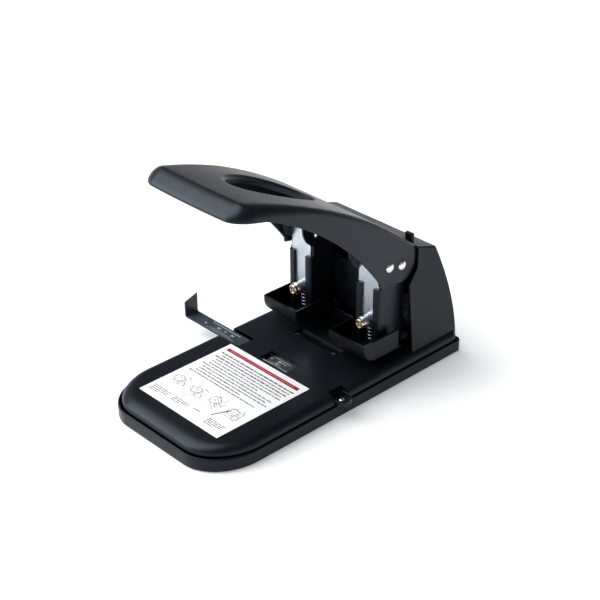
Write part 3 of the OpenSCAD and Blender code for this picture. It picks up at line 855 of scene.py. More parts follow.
@dataclass
class Label:
    """The instruction label: a white film with generic bars in place of its print."""

    lift: float = 0.03              # how far the print stands on the film
    sunk: float = 0.05              # and how far it reaches into it
    corner: float = 0.7
    heading: Pair = (7.6, 4.0)       # the red bar's middle from the rear edge, and its height
    first_line: float = 14.2
    line_pitch: float = 3.55
    lines: tuple[Triple, ...] = (       # indent, length and height of each line
        (5, 88, 1.5), (9, 82, 1.1), (5, 86, 1.5), (9, 80, 1.1), (9, 84, 1.1), (9, 60, 1.1),
        (5, 84, 1.1), (9, 78, 1.1), (9, 82, 1.1), (9, 55, 1.1), (5, 80, 1.1))
    captions: tuple[tuple[float, int, float], ...] = ((4, 4, 20), (29, 3, 17), (52, 1, 15), (71, 4, 19))
    caption_top: float = 84.5
    caption_pitch: float = 2.1
    sketch_top: float = 67.0
    sketch_pitch: float = 22.5
    rings: tuple[tuple[float, float, float, int], ...] = ((5.4, -3.0, 2.0, 17), (3.4, 4.0, -2.4, 12))
    strokes: tuple[tuple[float, float, float, float], ...] = (      # X, Y, length and angle
        (-6, 0, 11, 90), (6, 0, 11, 90), (0, 5.5, 12, 0), (0, -5.5, 12, 0), (0, 2.4, 8, 0),
        (0, 0, 9, 0), (1, -2.4, 6, 0), (-4, 7, 7, 60), (5, 7, 6, -50))
    arrow: Triple = (1.2, 17.0, -24.0)      # width, length and angle of the dark arrow
    seed: int = 7
    box: Box = field(default_factory=lambda: Box.of("instruction_label"))

    def stroke(self, bm: Mesh, place: Vector, length: float, width: float, angle: float) -> None:
        """Prints one bar.

        Args:
            bm: The mesh that takes the bar.
            place: Its middle; its height is not read.
            length: Its length along X before it is turned.
            width: Its width along Y before it is turned.
            angle: How far it is turned, in degrees.
        """
        bar = place_box(bm, (-length / 2, -width / 2, -self.sunk), (length / 2, width / 2, self.lift))
        bmesh.ops.rotate(bm, verts=bar, cent=(0, 0, 0), matrix=Matrix.Rotation(radians(angle), 3, "Z"))
        bmesh.ops.translate(bm, verts=bar, vec=(place.x, place.y, self.box.hi.z))

    def line(self, bm: Mesh, rng: random.Random, x: float, back: float, w: float, h: float) -> None:
        """Prints a broken line that stands for a line of words.

        Args:
            bm: The mesh that takes the bars.
            rng: Gives the lengths of the words.
            x: X of its left end, from the label's left edge.
            back: How far its middle lies in front of the label's rear edge.
            w: Its length.
            h: Its height.
        """
        x += self.box.lo.x
        at, end = x, x + w
        while at < end - 0.8:
            word = min(rng.uniform(1.6, 6.4), end - at)
            self.stroke(bm, Vector((at + word / 2, self.box.hi.y - back, 0)), word, h, 0)
            at += word + rng.uniform(0.55, 0.9)

    def make_film(self) -> None:
        """Models the film with round corners."""
        box = self.box
        spots = rounded_outline(box.hi.x, box.lo.y, box.hi.y, (self.corner, self.corner), self.corner, 4)
        skin = Skin([s.point + UP * box.lo.z for s in spots], closed=True)
        skin.fill()
        grow(skin, spots, 0.0, box.hi.z - 0.05)
        grow(skin, spots, 0.08, box.hi.z)
        skin.fill()
        outward(skin.bm)
        Piece("label", Body.FRAME, LABEL_FILM, "instruction_label").make(skin.bm)

    def make_print(self) -> None:
        """Prints the heading bar, the lines, the captions and the sketches."""
        rng = random.Random(self.seed)
        box, width = self.box, self.box.size.x
        back, height = self.heading
        red, dark, pale, words = (bmesh.new() for _ in range(4))
        self.stroke(red, Vector((box.lo.x + width / 2 - 0.25, box.hi.y - back, 0)), width - 9.5, height, 0)
        self.line(words, rng, 8, back, width - 18, 0.9)
        bmesh.ops.translate(words, vec=(0, 0, self.lift), verts=words.verts)
        for i, (indent, length, h) in enumerate(self.lines):
            self.line(dark, rng, indent, self.first_line + i * self.line_pitch, length, h)
        for indent, rows, length in self.captions:
            for k in range(rows):
                self.line(dark, rng, indent, self.caption_top + self.caption_pitch * k,
                          length if k < rows - 1 else length * 0.6, 0.8)
        for i in range(len(self.captions)):
            back = self.sketch_top + 1.2 * (i % 2)
            self.sketch(pale, rng, Vector((box.lo.x + 14 + self.sketch_pitch * i, box.hi.y - back, 0)))
        wide, long, angle = self.arrow
        self.stroke(dark, Vector((box.lo.x + 72.5, box.hi.y - 73, 0)), wide, long, angle)
        for name, finish, bm in (("heading_words", HEADING_WORDS, words), ("heading", INK_RED, red),
                                 ("lines", INK_DARK, dark), ("sketches", INK_PALE, pale)):
            Piece(f"label_{name}", Body.FRAME, finish, slot="label_film").make(bm)

    def sketch(self, bm: Mesh, rng: random.Random, centre: Vector) -> None:
        """Draws one faint sketch: two rings of short strokes, a slanted sheet and a few lines in it.

        Args:
            bm: The mesh that takes the strokes.
            rng: Gives the sheet's slant.
            centre: The sketch's middle.
        """
        lean = rng.uniform(-35, 35)
        for radius, x, y, count in self.rings:
            for i in range(count):
                a = 2 * pi * i / count
                spot = Vector((x + radius * cos(a), y + 0.8 * radius * sin(a), 0))
                self.stroke(bm, centre + spot, 2 * pi * radius / count * 0.8, 0.55, degrees(a) + 90)
        for x, y, length, angle in self.strokes:
            self.stroke(bm, centre + Vector((x, y, 0)), length, 0.46, angle + lean)

    def build(self) -> None:
        """Builds the label and its print."""
        self.make_film()
        self.make_print()


@dataclass
class PaperGuide:
    """The sliding strip, its upturned end and its printed scale."""

    fold: float = 1.6
    thickness: float = 1.2
    riser: float = 15.0             # height of the upturned end at its front
    runs: tuple[tuple[int, int], ...] = ((26, 62), (100, 126))     # start and end of each ruled stretch
    blocks: tuple[tuple[float, ...], ...] = (       # X, Y, width and depth of the figures' blocks
        (36, 6.2, 1.0, 2.2), (38, 6.2, 1.0, 2.2), (54, 6.2, 1.0, 2.2), (56, 6.2, 1.0, 2.2),
        (103, 6.0, 0.5, 3.2), (104.4, 6.0, 0.5, 3.2), (105.8, 6.0, 0.5, 3.2), (113, 6.8, 1.2, 2.6),
        (115, 6.8, 1.2, 2.6), (113, 4.2, 3.2, 1.0), (121, 7.0, 1.0, 2.2))
    dots: tuple[Pair, ...] = ((22.0, 5.6), (46.0, 7.4), (118.5, 8.6))
    box: Box = field(default_factory=lambda: Box.of("paper_guide"))

    def make_strip(self) -> None:
        """Models the strip as a skin that folds up at its left end."""
        box = self.box
        top, end = box.lo.z + self.thickness, box.lo.x + self.fold + self.thickness
        bm = bmesh.new()
        corners = [bm.verts.new((end, y, top)) for y in (box.lo.y, box.hi.y)]
        fold_edge = bm.edges.new(corners)
        pull(bm, [fold_edge], (box.hi.x - end, 0, 0))
        last = bmesh.ops.spin(bm, geom=[*corners, fold_edge], cent=(end, 0, top + self.fold), axis=(0, 1, 0),
                              angle=QUARTER, steps=5)["geom_last"]
        riser, _ = pull(bm, [e for e in last if isinstance(e, Edge)])
        for vert in riser:
            vert.co.z = box.hi.z if vert.co.y > box.centre.y else box.lo.z + self.riser
        outward(bm)
        if max(bm.faces, key=lambda f: f.calc_area()).normal.z < 0:
            bmesh.ops.reverse_faces(bm, faces=bm.faces)
        Piece("guide_strip", Body.GUIDE, GUIDE_STEEL, "paper_guide").make(
            bm, sheet=self.thickness, rounding=0.2)

    def make_scale(self) -> None:
        """Prints the scale: ruled lines with ticks, round marks and blocks for its figures."""
        marks = list(self.blocks)
        for start, stop in self.runs:
            marks += [(start, 10.6, stop - start, 0.35), (start + 4, 3.6, stop - start - 10, 0.3)]
            for i in range((stop - start) // 2):
                major = i % 5 == 0
                marks += [(start + 2 * i, 10.6, 0.4, 2.4 if major else 1.3),
                          (start + 2 * i + 1, 1.2, 0.35, 1.8 if major else 1.0)]
        corner = self.box.lo + UP * self.thickness
        bm = bmesh.new()
        for x, y, w, h in marks:
            place_box(bm, corner + Vector((x, y, -0.02)), corner + Vector((x + w, y + h, 0.03)))
        for x, y in self.dots:
            disc = bmesh.ops.create_cone(bm, cap_ends=True, segments=20, radius1=0.8, radius2=0.8,
                                         depth=0.05)["verts"]
            bmesh.ops.translate(bm, verts=disc, vec=corner + Vector((x, y, 0.005)))
        Piece("guide_scale", Body.GUIDE, SCALE_WHITE, slot="guide_steel").make(bm)

    def build(self) -> None:
        """Builds the guide."""
        self.make_strip()
        self.make_scale()


@dataclass
class Handle:
    """The pressed lever: an arched top, rolled edges, side walls and a turned-down hand hole."""

    side_roll: Pair = (5.5, 5.5)     # reach and drop of the rolled edge along the sides
    nose_roll: Pair = (12.5, 11.0)   # along the sides, close to the front
    front_roll: Pair = (14.5, 13.0)  # and along the front
    corner: Pair = (16.0, 17.0)      # reach of the front corners along X and along Y
    flank: float = 0.5              # how much flatter than a quarter round the front's roll is
    bow: float = 1.6                # how far the front edge bows forward in the middle
    bow_run: Pair = (-30.0, 60.0)    # the Y where the bow starts, and the run to its full size
    nose_run: Pair = (-20.0, 58.0)   # the same for the change to the nose's roll
    sheet: float = 2.0
    end_r: float = 15.5
    arc_r: float = 440.0
    arc_mid: Pair = (-270.5, -321.0)     # centre of the arch, from the pivot
    hole: Pair = (27.0, 39.0)
    hole_y: float = 83.0            # middle of the hand hole behind the front edge
    hole_roll: float = 3.2
    hole_depth: float = 7.0
    front_low: float = 14.0         # from the top of the arch's front down to the front's lower edge
    tip: Pair = (-24.8, -11.4)
    lower: tuple[Pair, ...] = ((-174.0, 99.9), (-82.0, 71.0), (-25.5, -7.3))
    box: Box = field(default_factory=lambda: Box.of("handle_shell"))
    pivot: Vector = field(default_factory=lambda: Box.of("right_pivot_pin").centre)

    def arch(self, y: float) -> float:
        """Height of the arched top at a Y."""
        run = y - self.pivot.y - self.arc_mid[0]
        return self.pivot.z + self.arc_mid[1] + sqrt(self.arc_r ** 2 - run ** 2)

    def lower_edge(self, t: float) -> Pair:
        """Y and Z of the wall's lower edge, from the front (0) to the tip (1).

        Args:
            t: How far along the edge.

        Returns:
            Y and Z there.
        """
        a, b, c = self.lower
        mix = [(1 - t) ** 2 * a[i] + 2 * t * (1 - t) * b[i] + t ** 2 * c[i] for i in (0, 1)]
        return self.pivot.y + mix[0], self.pivot.z + mix[1]

    def lower_at(self, y: float) -> float:
        """Height of the wall's lower edge at a Y.

        Args:
            y: The Y.

        Returns:
            The height, found by halving.
        """
        low, high = 0.0, 1.0
        for _ in range(30):
            t = (low + high) / 2
            low, high = (t, high) if self.lower_edge(t)[0] < y else (low, t)
        return self.lower_edge(low)[1]

    def side_stations(self) -> list[Pair]:
        """Y and lower Z of each station along a side, from the rear to the front corner.

        Returns:
            Y and Z of each station.
        """
        y0, z0 = self.pivot.y, self.pivot.z
        rear = [(y0 + self.end_r * cos(a), z0 - self.end_r * sin(a))
                for a in (QUARTER * i / 10 for i in range(11))]
        tip = (y0 + self.tip[0], z0 + self.tip[1])
        between = [(y0 + (tip[0] - y0) * k / 3, rear[-1][1] + (tip[1] - rear[-1][1]) * k / 3) for k in (1, 2)]
        curve = [self.lower_edge(1 - i / 26) for i in range(27)]
        keep = [p for p in curve if p[0] > self.box.lo.y + self.corner[1] + 1]
        return [*rear, *between, tip, *keep]

    def outline(self) -> tuple[list[Spot], list[float]]:
        """Stations of the plan outline from the rear right to the rear left, and their lower ends.

        Returns:
            The stations, and the height of the wall's lower edge at each.
        """
        half, front, (wide, deep) = self.box.hi.x, self.box.lo.y, self.corner
        side = self.side_stations()
        floor = self.box.hi.z - self.front_low
        spots = [Spot(Vector((half, y, 0)), Vector((1, 0, 0))) for y, _ in side]
        lows = [z for _, z in side]
        for i in range(15):
            a = -QUARTER * i / 14
            across, along = cos(a), sin(a)
            spots.append(Spot(Vector((half - wide + wide * across, front + deep + deep * along, 0)),
                              Vector((across * deep, along * wide, 0)).normalized()))
            lows.append(min(self.lower_at(spots[-1].point.y), floor))
        for i in range(1, 9):
            spots.append(Spot(Vector(((half - wide) * (1 - i / 9), front, 0)), Vector((0, -1, 0))))
            lows.append(floor)
        spots.append(Spot(Vector((0, front, 0)), Vector((0, -1, 0))))
        lows.append(floor)
        flip = Vector((-1, 1, 1))
        mirrored = [Spot(s.point * flip, s.out * flip) for s in reversed(spots[:-1])]
        return spots + mirrored, lows + lows[-2::-1]

    def roll(self, spot: Spot) -> Pair:
        """Reach and drop of the rolled edge at a station: wider at the front.

        Args:
            spot: The station.

        Returns:
            The reach and the drop.
        """
        start, run = self.nose_run
        nose = min(max((start - spot.point.y) / run, 0.0), 1.0)
        share = max(0.0, -spot.out.y) ** 1.3
        sides = (s + (n - s) * nose for s, n in zip(self.side_roll, self.nose_roll))
        reach, drop = (s + (f - s) * share for s, f in zip(sides, self.front_roll))
        return reach, drop

    def make_shell(self) -> None:
        """Grows the shell from the hand hole's rim, over the top and down the walls."""
        spots, lows = self.outline()
        chain = len(spots)
        rear_y = self.box.hi.y
        inner_x = spots[0].point.x - self.side_roll[0]
        rear = [Vector((-inner_x + 2 * inner_x * k / 9, rear_y, 0)) for k in range(1, 9)]
        edge = [s.point - s.out * self.roll(s)[0] for s in spots] + rear
        middle = Vector((0, self.box.lo.y + self.hole_y, 0))
        a, b = self.hole
        angles = [atan2((p.y - middle.y) / b, p.x / a) for p in edge]

        def rim(i: int, grown: float, drop: float) -> Vector:
            """A point of the hand hole's rim that faces a station."""
            p = middle + Vector(((a + grown) * cos(angles[i]), (b + grown) * sin(angles[i]), 0))
            return Vector((p.x, p.y, self.arch(p.y) - drop))

        def top(i: int, share: float) -> Vector:
            """A point of the arched top, a share of the way from the hole to the edge."""
            p = rim(i, self.hole_roll, 0).lerp(edge[i], share)
            return Vector((p.x, p.y, self.arch(p.y)))

        skin = Skin([rim(i, 0, self.hole_depth) for i in range(len(edge))], closed=True)
        skin.step(lambda i: rim(i, 0, self.hole_roll))
        for turn in arc_steps(5):
            grown, drop = (self.hole_roll * (1 - f(turn)) for f in (cos, sin))
            skin.step(lambda i: rim(i, grown, drop))
        for k in range(1, 11):
            skin.step(lambda i: top(i, k / 10))
        skin.keep_rim(lambda i: i < chain)
        for turn in arc_steps(8):
            skin.step(lambda i: self.rolled(spots[i], sin(turn), cos(turn)))
        for share in (0.5, 1.0):
            skin.step(lambda i: self.wall(spots[i], lows[i], share))
        start, run = self.bow_run
        for vert in skin.bm.verts:
            fade = min(max((start - vert.co.y) / run, 0.0), 1.0)
            vert.co.y += self.bow * (vert.co.x / spots[0].point.x) ** 2 * fade
        face_towards(skin.bm, UP)
        Piece("lever", Body.HANDLE, HANDLE_ENAMEL, "handle_shell").make(
            skin.bm, sheet=self.sheet, rounding=0.4)

    def rolled(self, spot: Spot, sine: float, cosine: float) -> Vector:
        """A point on the rolled edge.

        Args:
            spot: The station.
            sine: Sine of the angle turned.
            cosine: Its cosine.

        Returns:
            The point.
        """
        reach, drop = self.roll(spot)
        flat = 1 + self.flank * max(0.0, -spot.out.y)
        p = spot.point - spot.out * reach * (1 - sine ** flat)
        return Vector((p.x, p.y, self.arch(p.y) - drop * (1 - max(cosine, 0.0) ** flat)))

    def wall(self, spot: Spot, low: float, share: float) -> Vector:
        """A point on the wall, a share of the way from the rolled edge to the lower edge."""
        top = self.arch(spot.point.y) - self.roll(spot)[1]
        return Vector((spot.point.x, spot.point.y, top + (min(low, top - 0.8) - top) * share))

    def make_pins(self) -> None:
        """Models the pivot and drive pins with domed heads at both ends."""
        for side in Side:
            for kind, body in (("pivot_pin", Body.FRAME), ("drive_pin", Body.HANDLE)):
                node = f"{side.word}_{kind}"
                box = Box.of(node)
                length, head, shank, r = box.size.x, 2.0, 3.0, 4.3
                near = [(across, head - along) for across, along in reversed(dome(r, head, 0.0))]
                profile = [*near, (shank, head), (shank, length - head), *dome(r, head, length - head)]
                bm = bmesh.new()
                turned(bm, profile, Vector((box.lo.x, box.centre.y, box.centre.z)), Vector((1, 0, 0)))
                Piece(f"{node}_turned", body, BRIGHT_NICKEL, node).make(bm)

    def build(self) -> None:
        """Builds the lever and its pins."""
        self.make_shell()
        self.make_pins()


@dataclass
class Cover:
    """The moulded rear cover: leaning walls, round rear corners and a sloping top."""

    wall: float = 2.2
    corner: float = 2.6
    foot_drop: float = 0.4          # how far its foot is let into the plate
    gap: float = 2.2
    lean: float = 21.7
    bend: float = 1.75
    top_rise: float = 8.4
    levels: int = 14
    box: Box = field(default_factory=lambda: Box.of("rear_cover"))
    clear: float = 1.8              # how far its top is wider than the handle on each side
    height: float = 84.3            # up to the top's rear edge
    base: Base = field(default_factory=Base)
    handle: Handle = field(default_factory=Handle)

    @property
    def top_rear(self) -> float:
        """Height of the top's rear edge."""
        return self.box.lo.z + self.height

    @property
    def rear_top_y(self) -> float:
        """Y of the top's rear edge."""
        return self.box.hi.y - self.lean

    def half(self, z: float) -> float:
        """Half width at a height."""
        foot, crown = self.box.hi.x, self.handle.box.hi.x + self.clear
        return foot + (crown - foot) * min((z - self.box.lo.z) / (self.top_rear - self.box.lo.z), 1.0)

    def back(self, z: float) -> float:
        """Y of the rear face at a height."""
        share = min(max((z - self.box.lo.z) / (self.top_rear - self.box.lo.z), 0.0), 1.0)
        return self.box.hi.y - self.lean * share ** self.bend

    def front(self, z: float) -> float:
        """Y of the side wall's front edge at a height: straight, then round the handle's end.

        Args:
            z: The height.

        Returns:
            The Y.
        """
        radius = self.handle.end_r + self.gap
        pivot = self.handle.pivot
        rise = z - pivot.z
        if rise >= 0:
            return pivot.y + radius
        if rise <= -radius:
            return self.box.lo.y
        return max(self.box.lo.y, pivot.y + sqrt(radius ** 2 - rise ** 2))

    def top(self, y: float) -> float:
        """Height of the sloping top at a Y."""
        share = (self.rear_top_y - y) / (self.rear_top_y - self.handle.pivot.y - 15)
        return self.top_rear + self.top_rise * min(max(share, 0.0), 1.4)

    def foot(self, x: float, y: float) -> float:
        """Height of the cover's lower edge at a spot, where it follows the plate's rolled shoulder.

        Args:
            x: X of the spot.
            y: Y of the spot.

        Returns:
            The height.
        """
        base, level = self.base, self.box.lo.z
        for room, reach in ((base.plate.hi.y - base.ledge_side - y, base.shoulder_rear),
                            (base.plate.hi.x - base.ledge_side - abs(x), base.shoulder_side)):
            over = min(max((reach - room) / reach, 0.0), 0.97)
            level = min(level, self.box.lo.z - base.shoulder_h * (1 - sqrt(1 - over ** 2)))
        return level - self.foot_drop

    def section(self, share: float) -> list[Vector]:
        """Points of the U-shaped section at a share of the height, from the front right round the back.

        Args:
            share: 0 at the foot and 1 at the top.

        Returns:
            The section's points, on to the front left.
        """
        foot = self.foot(0, self.box.hi.y)
        rear_z = foot + (self.top_rear - foot) * share
        back = self.back(rear_z)
        side = []
        for k in range(9):
            guess = rear_z
            for _ in range(12):
                y = self.front(guess) + (back - self.corner - self.front(guess)) * k / 8
                low = self.foot(self.half(guess), y)
                guess = low + (self.top(y) - low) * share
            side.append(Vector((self.half(guess), y, guess)))
        x = self.half(rear_z) - self.corner
        corner = []
        for a in (QUARTER * (1 - i / 8) for i in range(1, 9)):
            y = back - self.corner + self.corner * cos(a)
            rise = (self.top(y) - self.top(back)) * share
            corner.append(Vector((x + self.corner * sin(a), y, rear_z + rise)))
        flat = [Vector((x * (1 - k / 4), back, rear_z)) for k in range(1, 5)]
        right = side + corner + flat
        return right + [Vector((-p.x, p.y, p.z)) for p in reversed(right[:-1])]

    def build(self) -> None:
        """Grows the walls level by level, closes the top and gives it thickness."""
        sections = [self.section(k / self.levels) for k in range(self.levels + 1)]
        skin = Skin(sections[0], closed=False)
        for points in sections[1:]:
            skin.step(lambda i: points[i])
        crown = skin.rim
        skin.bm.faces.new(sorted({v for e in crown for v in e.verts}, key=lambda v: v[skin.station]))
        face_towards(skin.bm, Vector((0, 1, 0.2)))
        round_off(skin.bm, [e for e in crown if e.is_valid], 1.4, 3)
        Piece("cover_moulding", Body.FRAME, MOULDED_PLASTIC, "rear_cover").make(
            skin.bm, sheet=self.wall, rounding=1.0, segments=3)


@dataclass
class Guard:
    """A moulded tray round one punch: open at the top and rear, with a round lower front."""

    side: Side
    wall: float = 1.8
    front_r: float = 15.0
    edge_r: float = 1.6
    lift: float = 2.1               # height of the floor's rear tongue
    tongue: float = 3.8             # and how far it reaches behind the walls
    punch_gap: float = 0.5

    def build(self) -> None:
        """Draws the side outline, extrudes it across and opens the top and rear."""
        node = f"{self.side.word}_throat_guard"
        box = Box.of(node)
        wall_end = box.hi.y - self.tongue
        r = self.front_r
        arc = [(box.lo.y + r - r * sin(a), box.lo.z + r - r * cos(a))
               for a in (QUARTER * (1 - i / 12) for i in range(13))]
        outline = [(wall_end, box.hi.z), (box.lo.y, box.hi.z), *arc, (box.hi.y, box.lo.z),
                   (box.hi.y, box.lo.z + self.lift), (wall_end, box.lo.z + self.lift)]
        bm = bmesh.new()
        face = bm.faces.new([bm.verts.new((box.lo.x, y, z)) for y, z in outline])
        moved = bmesh.ops.extrude_face_region(bm, geom=[face])["geom"]
        bmesh.ops.translate(bm, vec=(box.size.x, 0, 0), verts=[v for v in moved if isinstance(v, Vert)])
        bmesh.ops.recalc_face_normals(bm, faces=bm.faces)
        opened = [f for f in bm.faces if abs(f.normal.x) < 0.5 and (f.normal.z > 0.9 or f.normal.y > 0.9)]
        bmesh.ops.delete(bm, geom=opened, context="FACES_ONLY")
        keels = [e for e in sharp_edges(bm, 60) if abs(e.verts[0].co.x - e.verts[1].co.x) < 1e-3]
        round_off(bm, keels, self.edge_r, 4)
        punch = Box.of(f"{self.side.word}_punch")
        cut_round(bm, punch.centre.x, punch.centre.y, punch.size.x / 2 + self.punch_gap)
        Piece(f"{self.side.word}_guard_tray", Body.FRAME, MOULDED_PLASTIC, node).make(
            bm, sheet=self.wall, rounding=0.5)


@dataclass
class Upright:
    """A folded steel channel with front lips and round cheeks."""

    side: Side
    fold: float = 2.8
    sheet: float = 2.0
    lip_gap: float = 13.7
    lip_top: float = 85.0
    lobe_r: float = 20.0
    lobe_back: float = 11.0         # the round cheek's centre is as far in front of the pivot as above it
    lip_depth: float = 2.2          # from the lip's face to the slider's
    foot: float = 16.0
    heel: float = 7.5               # how far the cheek's foot stops short of the back
    pivot: Vector = field(default_factory=lambda: Box.of("right_pivot_pin").centre)
    guard: Box = field(default_factory=lambda: Box.of("right_throat_guard"))
    slider: Box = field(default_factory=lambda: Box.of("right_slider"))

    @property
    def box(self) -> Box:
        """This side's box."""
        return Box.of(f"{self.side.word}_upright")

    def outline(self) -> list[Pair]:
        """Y and Z round one cheek, between its folds.

        Returns:
            The outline's points, from the lip's foot over the top.
        """
        box = self.box
        lip, back = self.slider.lo.y - self.lip_depth + self.fold, box.hi.y - self.foot
        low, crown = self.guard.lo.z + 2.1, box.hi.z
        lobe_y, lobe_z = self.pivot.y - self.lobe_back, self.pivot.z + self.lobe_back
        neck = self.slider.lo.y + 1.4
        start = acos((lobe_y - neck) / self.lobe_r)
        stop = asin((crown - lobe_z) / self.lobe_r)
        lobe = [(lobe_y - self.lobe_r * cos(a), lobe_z + self.lobe_r * sin(a))
                for a in (-start + (start + stop) * i / 14 for i in range(15))]
        fold, heel = back - self.fold, back - self.heel
        return [(lip, low), (lip, self.lip_top - 1.5), (lip, self.lip_top), (neck, self.lip_top + 0.8), *lobe,
                (back, crown), (back, self.lip_top), (fold, self.lip_top), (fold, box.lo.z + self.sheet),
                (fold, box.lo.z), (heel, box.lo.z), (heel, low)]

    def build(self) -> None:
        """Draws one cheek, folds its lip and back, mirrors it and adds the foot."""
        half = self.box.size.x / 2
        points = self.outline()
        bm = bmesh.new()
        verts = [bm.verts.new((half, y, z)) for y, z in points]
        bm.faces.new(verts)
        lip = bm.edges.get((verts[0], verts[1]))
        back = bm.edges.get((verts[-5], verts[-4]))
        self.bend(bm, lip, Vector((half - self.fold, points[0][0], 0)), -1, self.lip_gap / 2)
        self.bend(bm, back, Vector((half - self.fold, points[-5][0], 0)), 1, 0.0)
        bmesh.ops.mirror(bm, geom=[*bm.verts, *bm.edges, *bm.faces], axis="X", merge_dist=1e-3)
        bmesh.ops.remove_doubles(bm, verts=bm.verts, dist=1e-3)
        wall_y = self.box.hi.y - self.foot
        sole = [e for e in bm.edges if e.is_boundary and all(
            abs(v.co.y - wall_y) < 1e-3 and abs(v.co.z - self.box.lo.z - self.sheet) < 1e-3 for v in e.verts)]
        pull(bm, sole, (0, self.foot, 0))
        bmesh.ops.recalc_face_normals(bm, faces=bm.faces)
        cheek = max(bm.faces, key=lambda f: f.calc_center_median().x + 1e-4 * f.calc_area())
        if cheek.normal.x < 0:
            bmesh.ops.reverse_faces(bm, faces=bm.faces)
        bmesh.ops.translate(bm, vec=(self.box.centre.x, 0, 0), verts=bm.verts)
        Piece(f"{self.side.word}_channel", Body.FRAME, POWDER_COAT, f"{self.side.word}_upright").make(
            bm, sheet=self.sheet, rounding=0.35)

    def bend(self, bm: Mesh, edge: Edge, centre: Vector, way: int, end: float) -> None:
        """Folds the sheet inwards along an upright edge, and runs it on to an X.

        Args:
            bm: The mesh.
            edge: The upright edge where the fold starts.
            centre: The fold's axis.
            way: -1 for the fold at the front, 1 for the one at the rear.
            end: X where the folded flange ends.
        """
        last = bmesh.ops.spin(bm, geom=[edge, *edge.verts], cent=centre, axis=(0, 0, 1), angle=way * QUARTER,
                              steps=5)["geom_last"]
        for vert in pull(bm, [e for e in last if isinstance(e, Edge)])[0]:
            vert.co.x = end


@dataclass
class PunchUnit:
    """What slides in one upright: the plate, the holder, the punch, its bolt and its spring."""

    side: Side
    wire: float = 0.5
    turns: int = 4
    travel: float = 9.95            # a little over the slide's range

    def name(self, part: str) -> str:
        """A node's or piece's name on this side."""
        return f"{self.side.word}_{part}"

    def make_blocks(self) -> None:
        """Rounds the edges of the slider, the holder and the punch."""
        for part, radius, finish in (("slider", 0.4, ZINC_PLATE), ("punch_holder", 0.5, ZINC_PLATE),
                                     ("punch", 0.12, TOOL_STEEL)):
            node = self.name(part)
            Piece(f"{node}_body", self.side.unit, finish, node).make(refined(node, radius))

    def make_bolt(self) -> None:
        """Turns the clamp bolt, with a flange, a round head and a hexagon socket."""
        node = self.name("clamp_bolt")
        box = Box.of(node)
        start = Vector((box.centre.x, box.lo.y, box.centre.z))
        end, shank, head, r = box.size.y, 2.5, 4.4, 4.8
        socket, mouth, depth, sixth = 1.5, 0.6, 1.8, pi / 3
        bm = bmesh.new()
        profile = [(socket * 1.12, 0.55), (shank, 0.55), (2.7, 0.75), (2.9, 0.75), (3.1, 0.1), (r - 1.3, 0.0)]
        profile += [(r - 1.3 + 0.9 * sin(a), 0.9 - 0.9 * cos(a)) for a in arc_steps(4)]
        profile += [(r - 0.4, head - 1.5), (r, head - 1.1), (r, head), (shank, head), (shank, end), (0.0, end)]
        turned(bm, profile, start, Vector((0, 1, 0)), 48)
        sides, rim = pull(bm, [e for e in bm.edges if e.is_boundary])
        for vert in sides:
            flat = Vector((vert.co.x - start.x, 0, vert.co.z - start.z))
            angle = atan2(flat.z, flat.x) % sixth - sixth / 2
            reach = socket * cos(sixth / 2) / cos(angle)
            vert.co = start + flat.normalized() * reach + Vector((0, mouth, 0))
        bmesh.ops.contextual_create(bm, geom=pull(bm, rim, (0, depth, 0))[1])
        outward(bm)
        Piece(self.name("bolt"), self.side.unit, YELLOW_ZINC, node).make(bm)

    def make_spring(self) -> None:
        """Winds the return spring: a closed half turn, the working turns and a closed half turn."""
        node = self.name("return_spring")
        box = Box.of(node)
        centre = Vector((box.centre.x, box.centre.y, 0))
        mean = box.size.y / 2 - self.wire
        bm = bmesh.new()
        ring = bmesh.ops.create_circle(bm, cap_ends=True, radius=self.wire, segments=12)["verts"]
        bmesh.ops.rotate(bm, verts=ring, cent=(0, 0, 0), matrix=Matrix.Rotation(QUARTER, 3, "X"))
        bmesh.ops.translate(bm, verts=ring, vec=centre + Vector((mean, 0, box.lo.z + self.wire)))
        end = list(bm.faces)
        for share, rise in ((0.5, self.wire), (self.turns, box.size.z - 4 * self.wire), (0.5, self.wire)):
            steps = round(30 * share)
            end = bmesh.ops.spin(bm, geom=end, cent=centre, axis=(0, 0, 1), dvec=(0, 0, rise / steps),
                                 angle=2 * pi * share, steps=steps)["geom_last"]
            end = [f for f in end if isinstance(f, Face)]
        outward(bm)
        piece = Piece(self.name("spring_coil"), Body.FRAME, PLAIN_STEEL, node).make(bm)
        self.name("punch_slide")
        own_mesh(piece)

    def build(self) -> None:
        """Builds the whole unit."""
        self.make_blocks()
        self.make_bolt()
        self.make_spring()


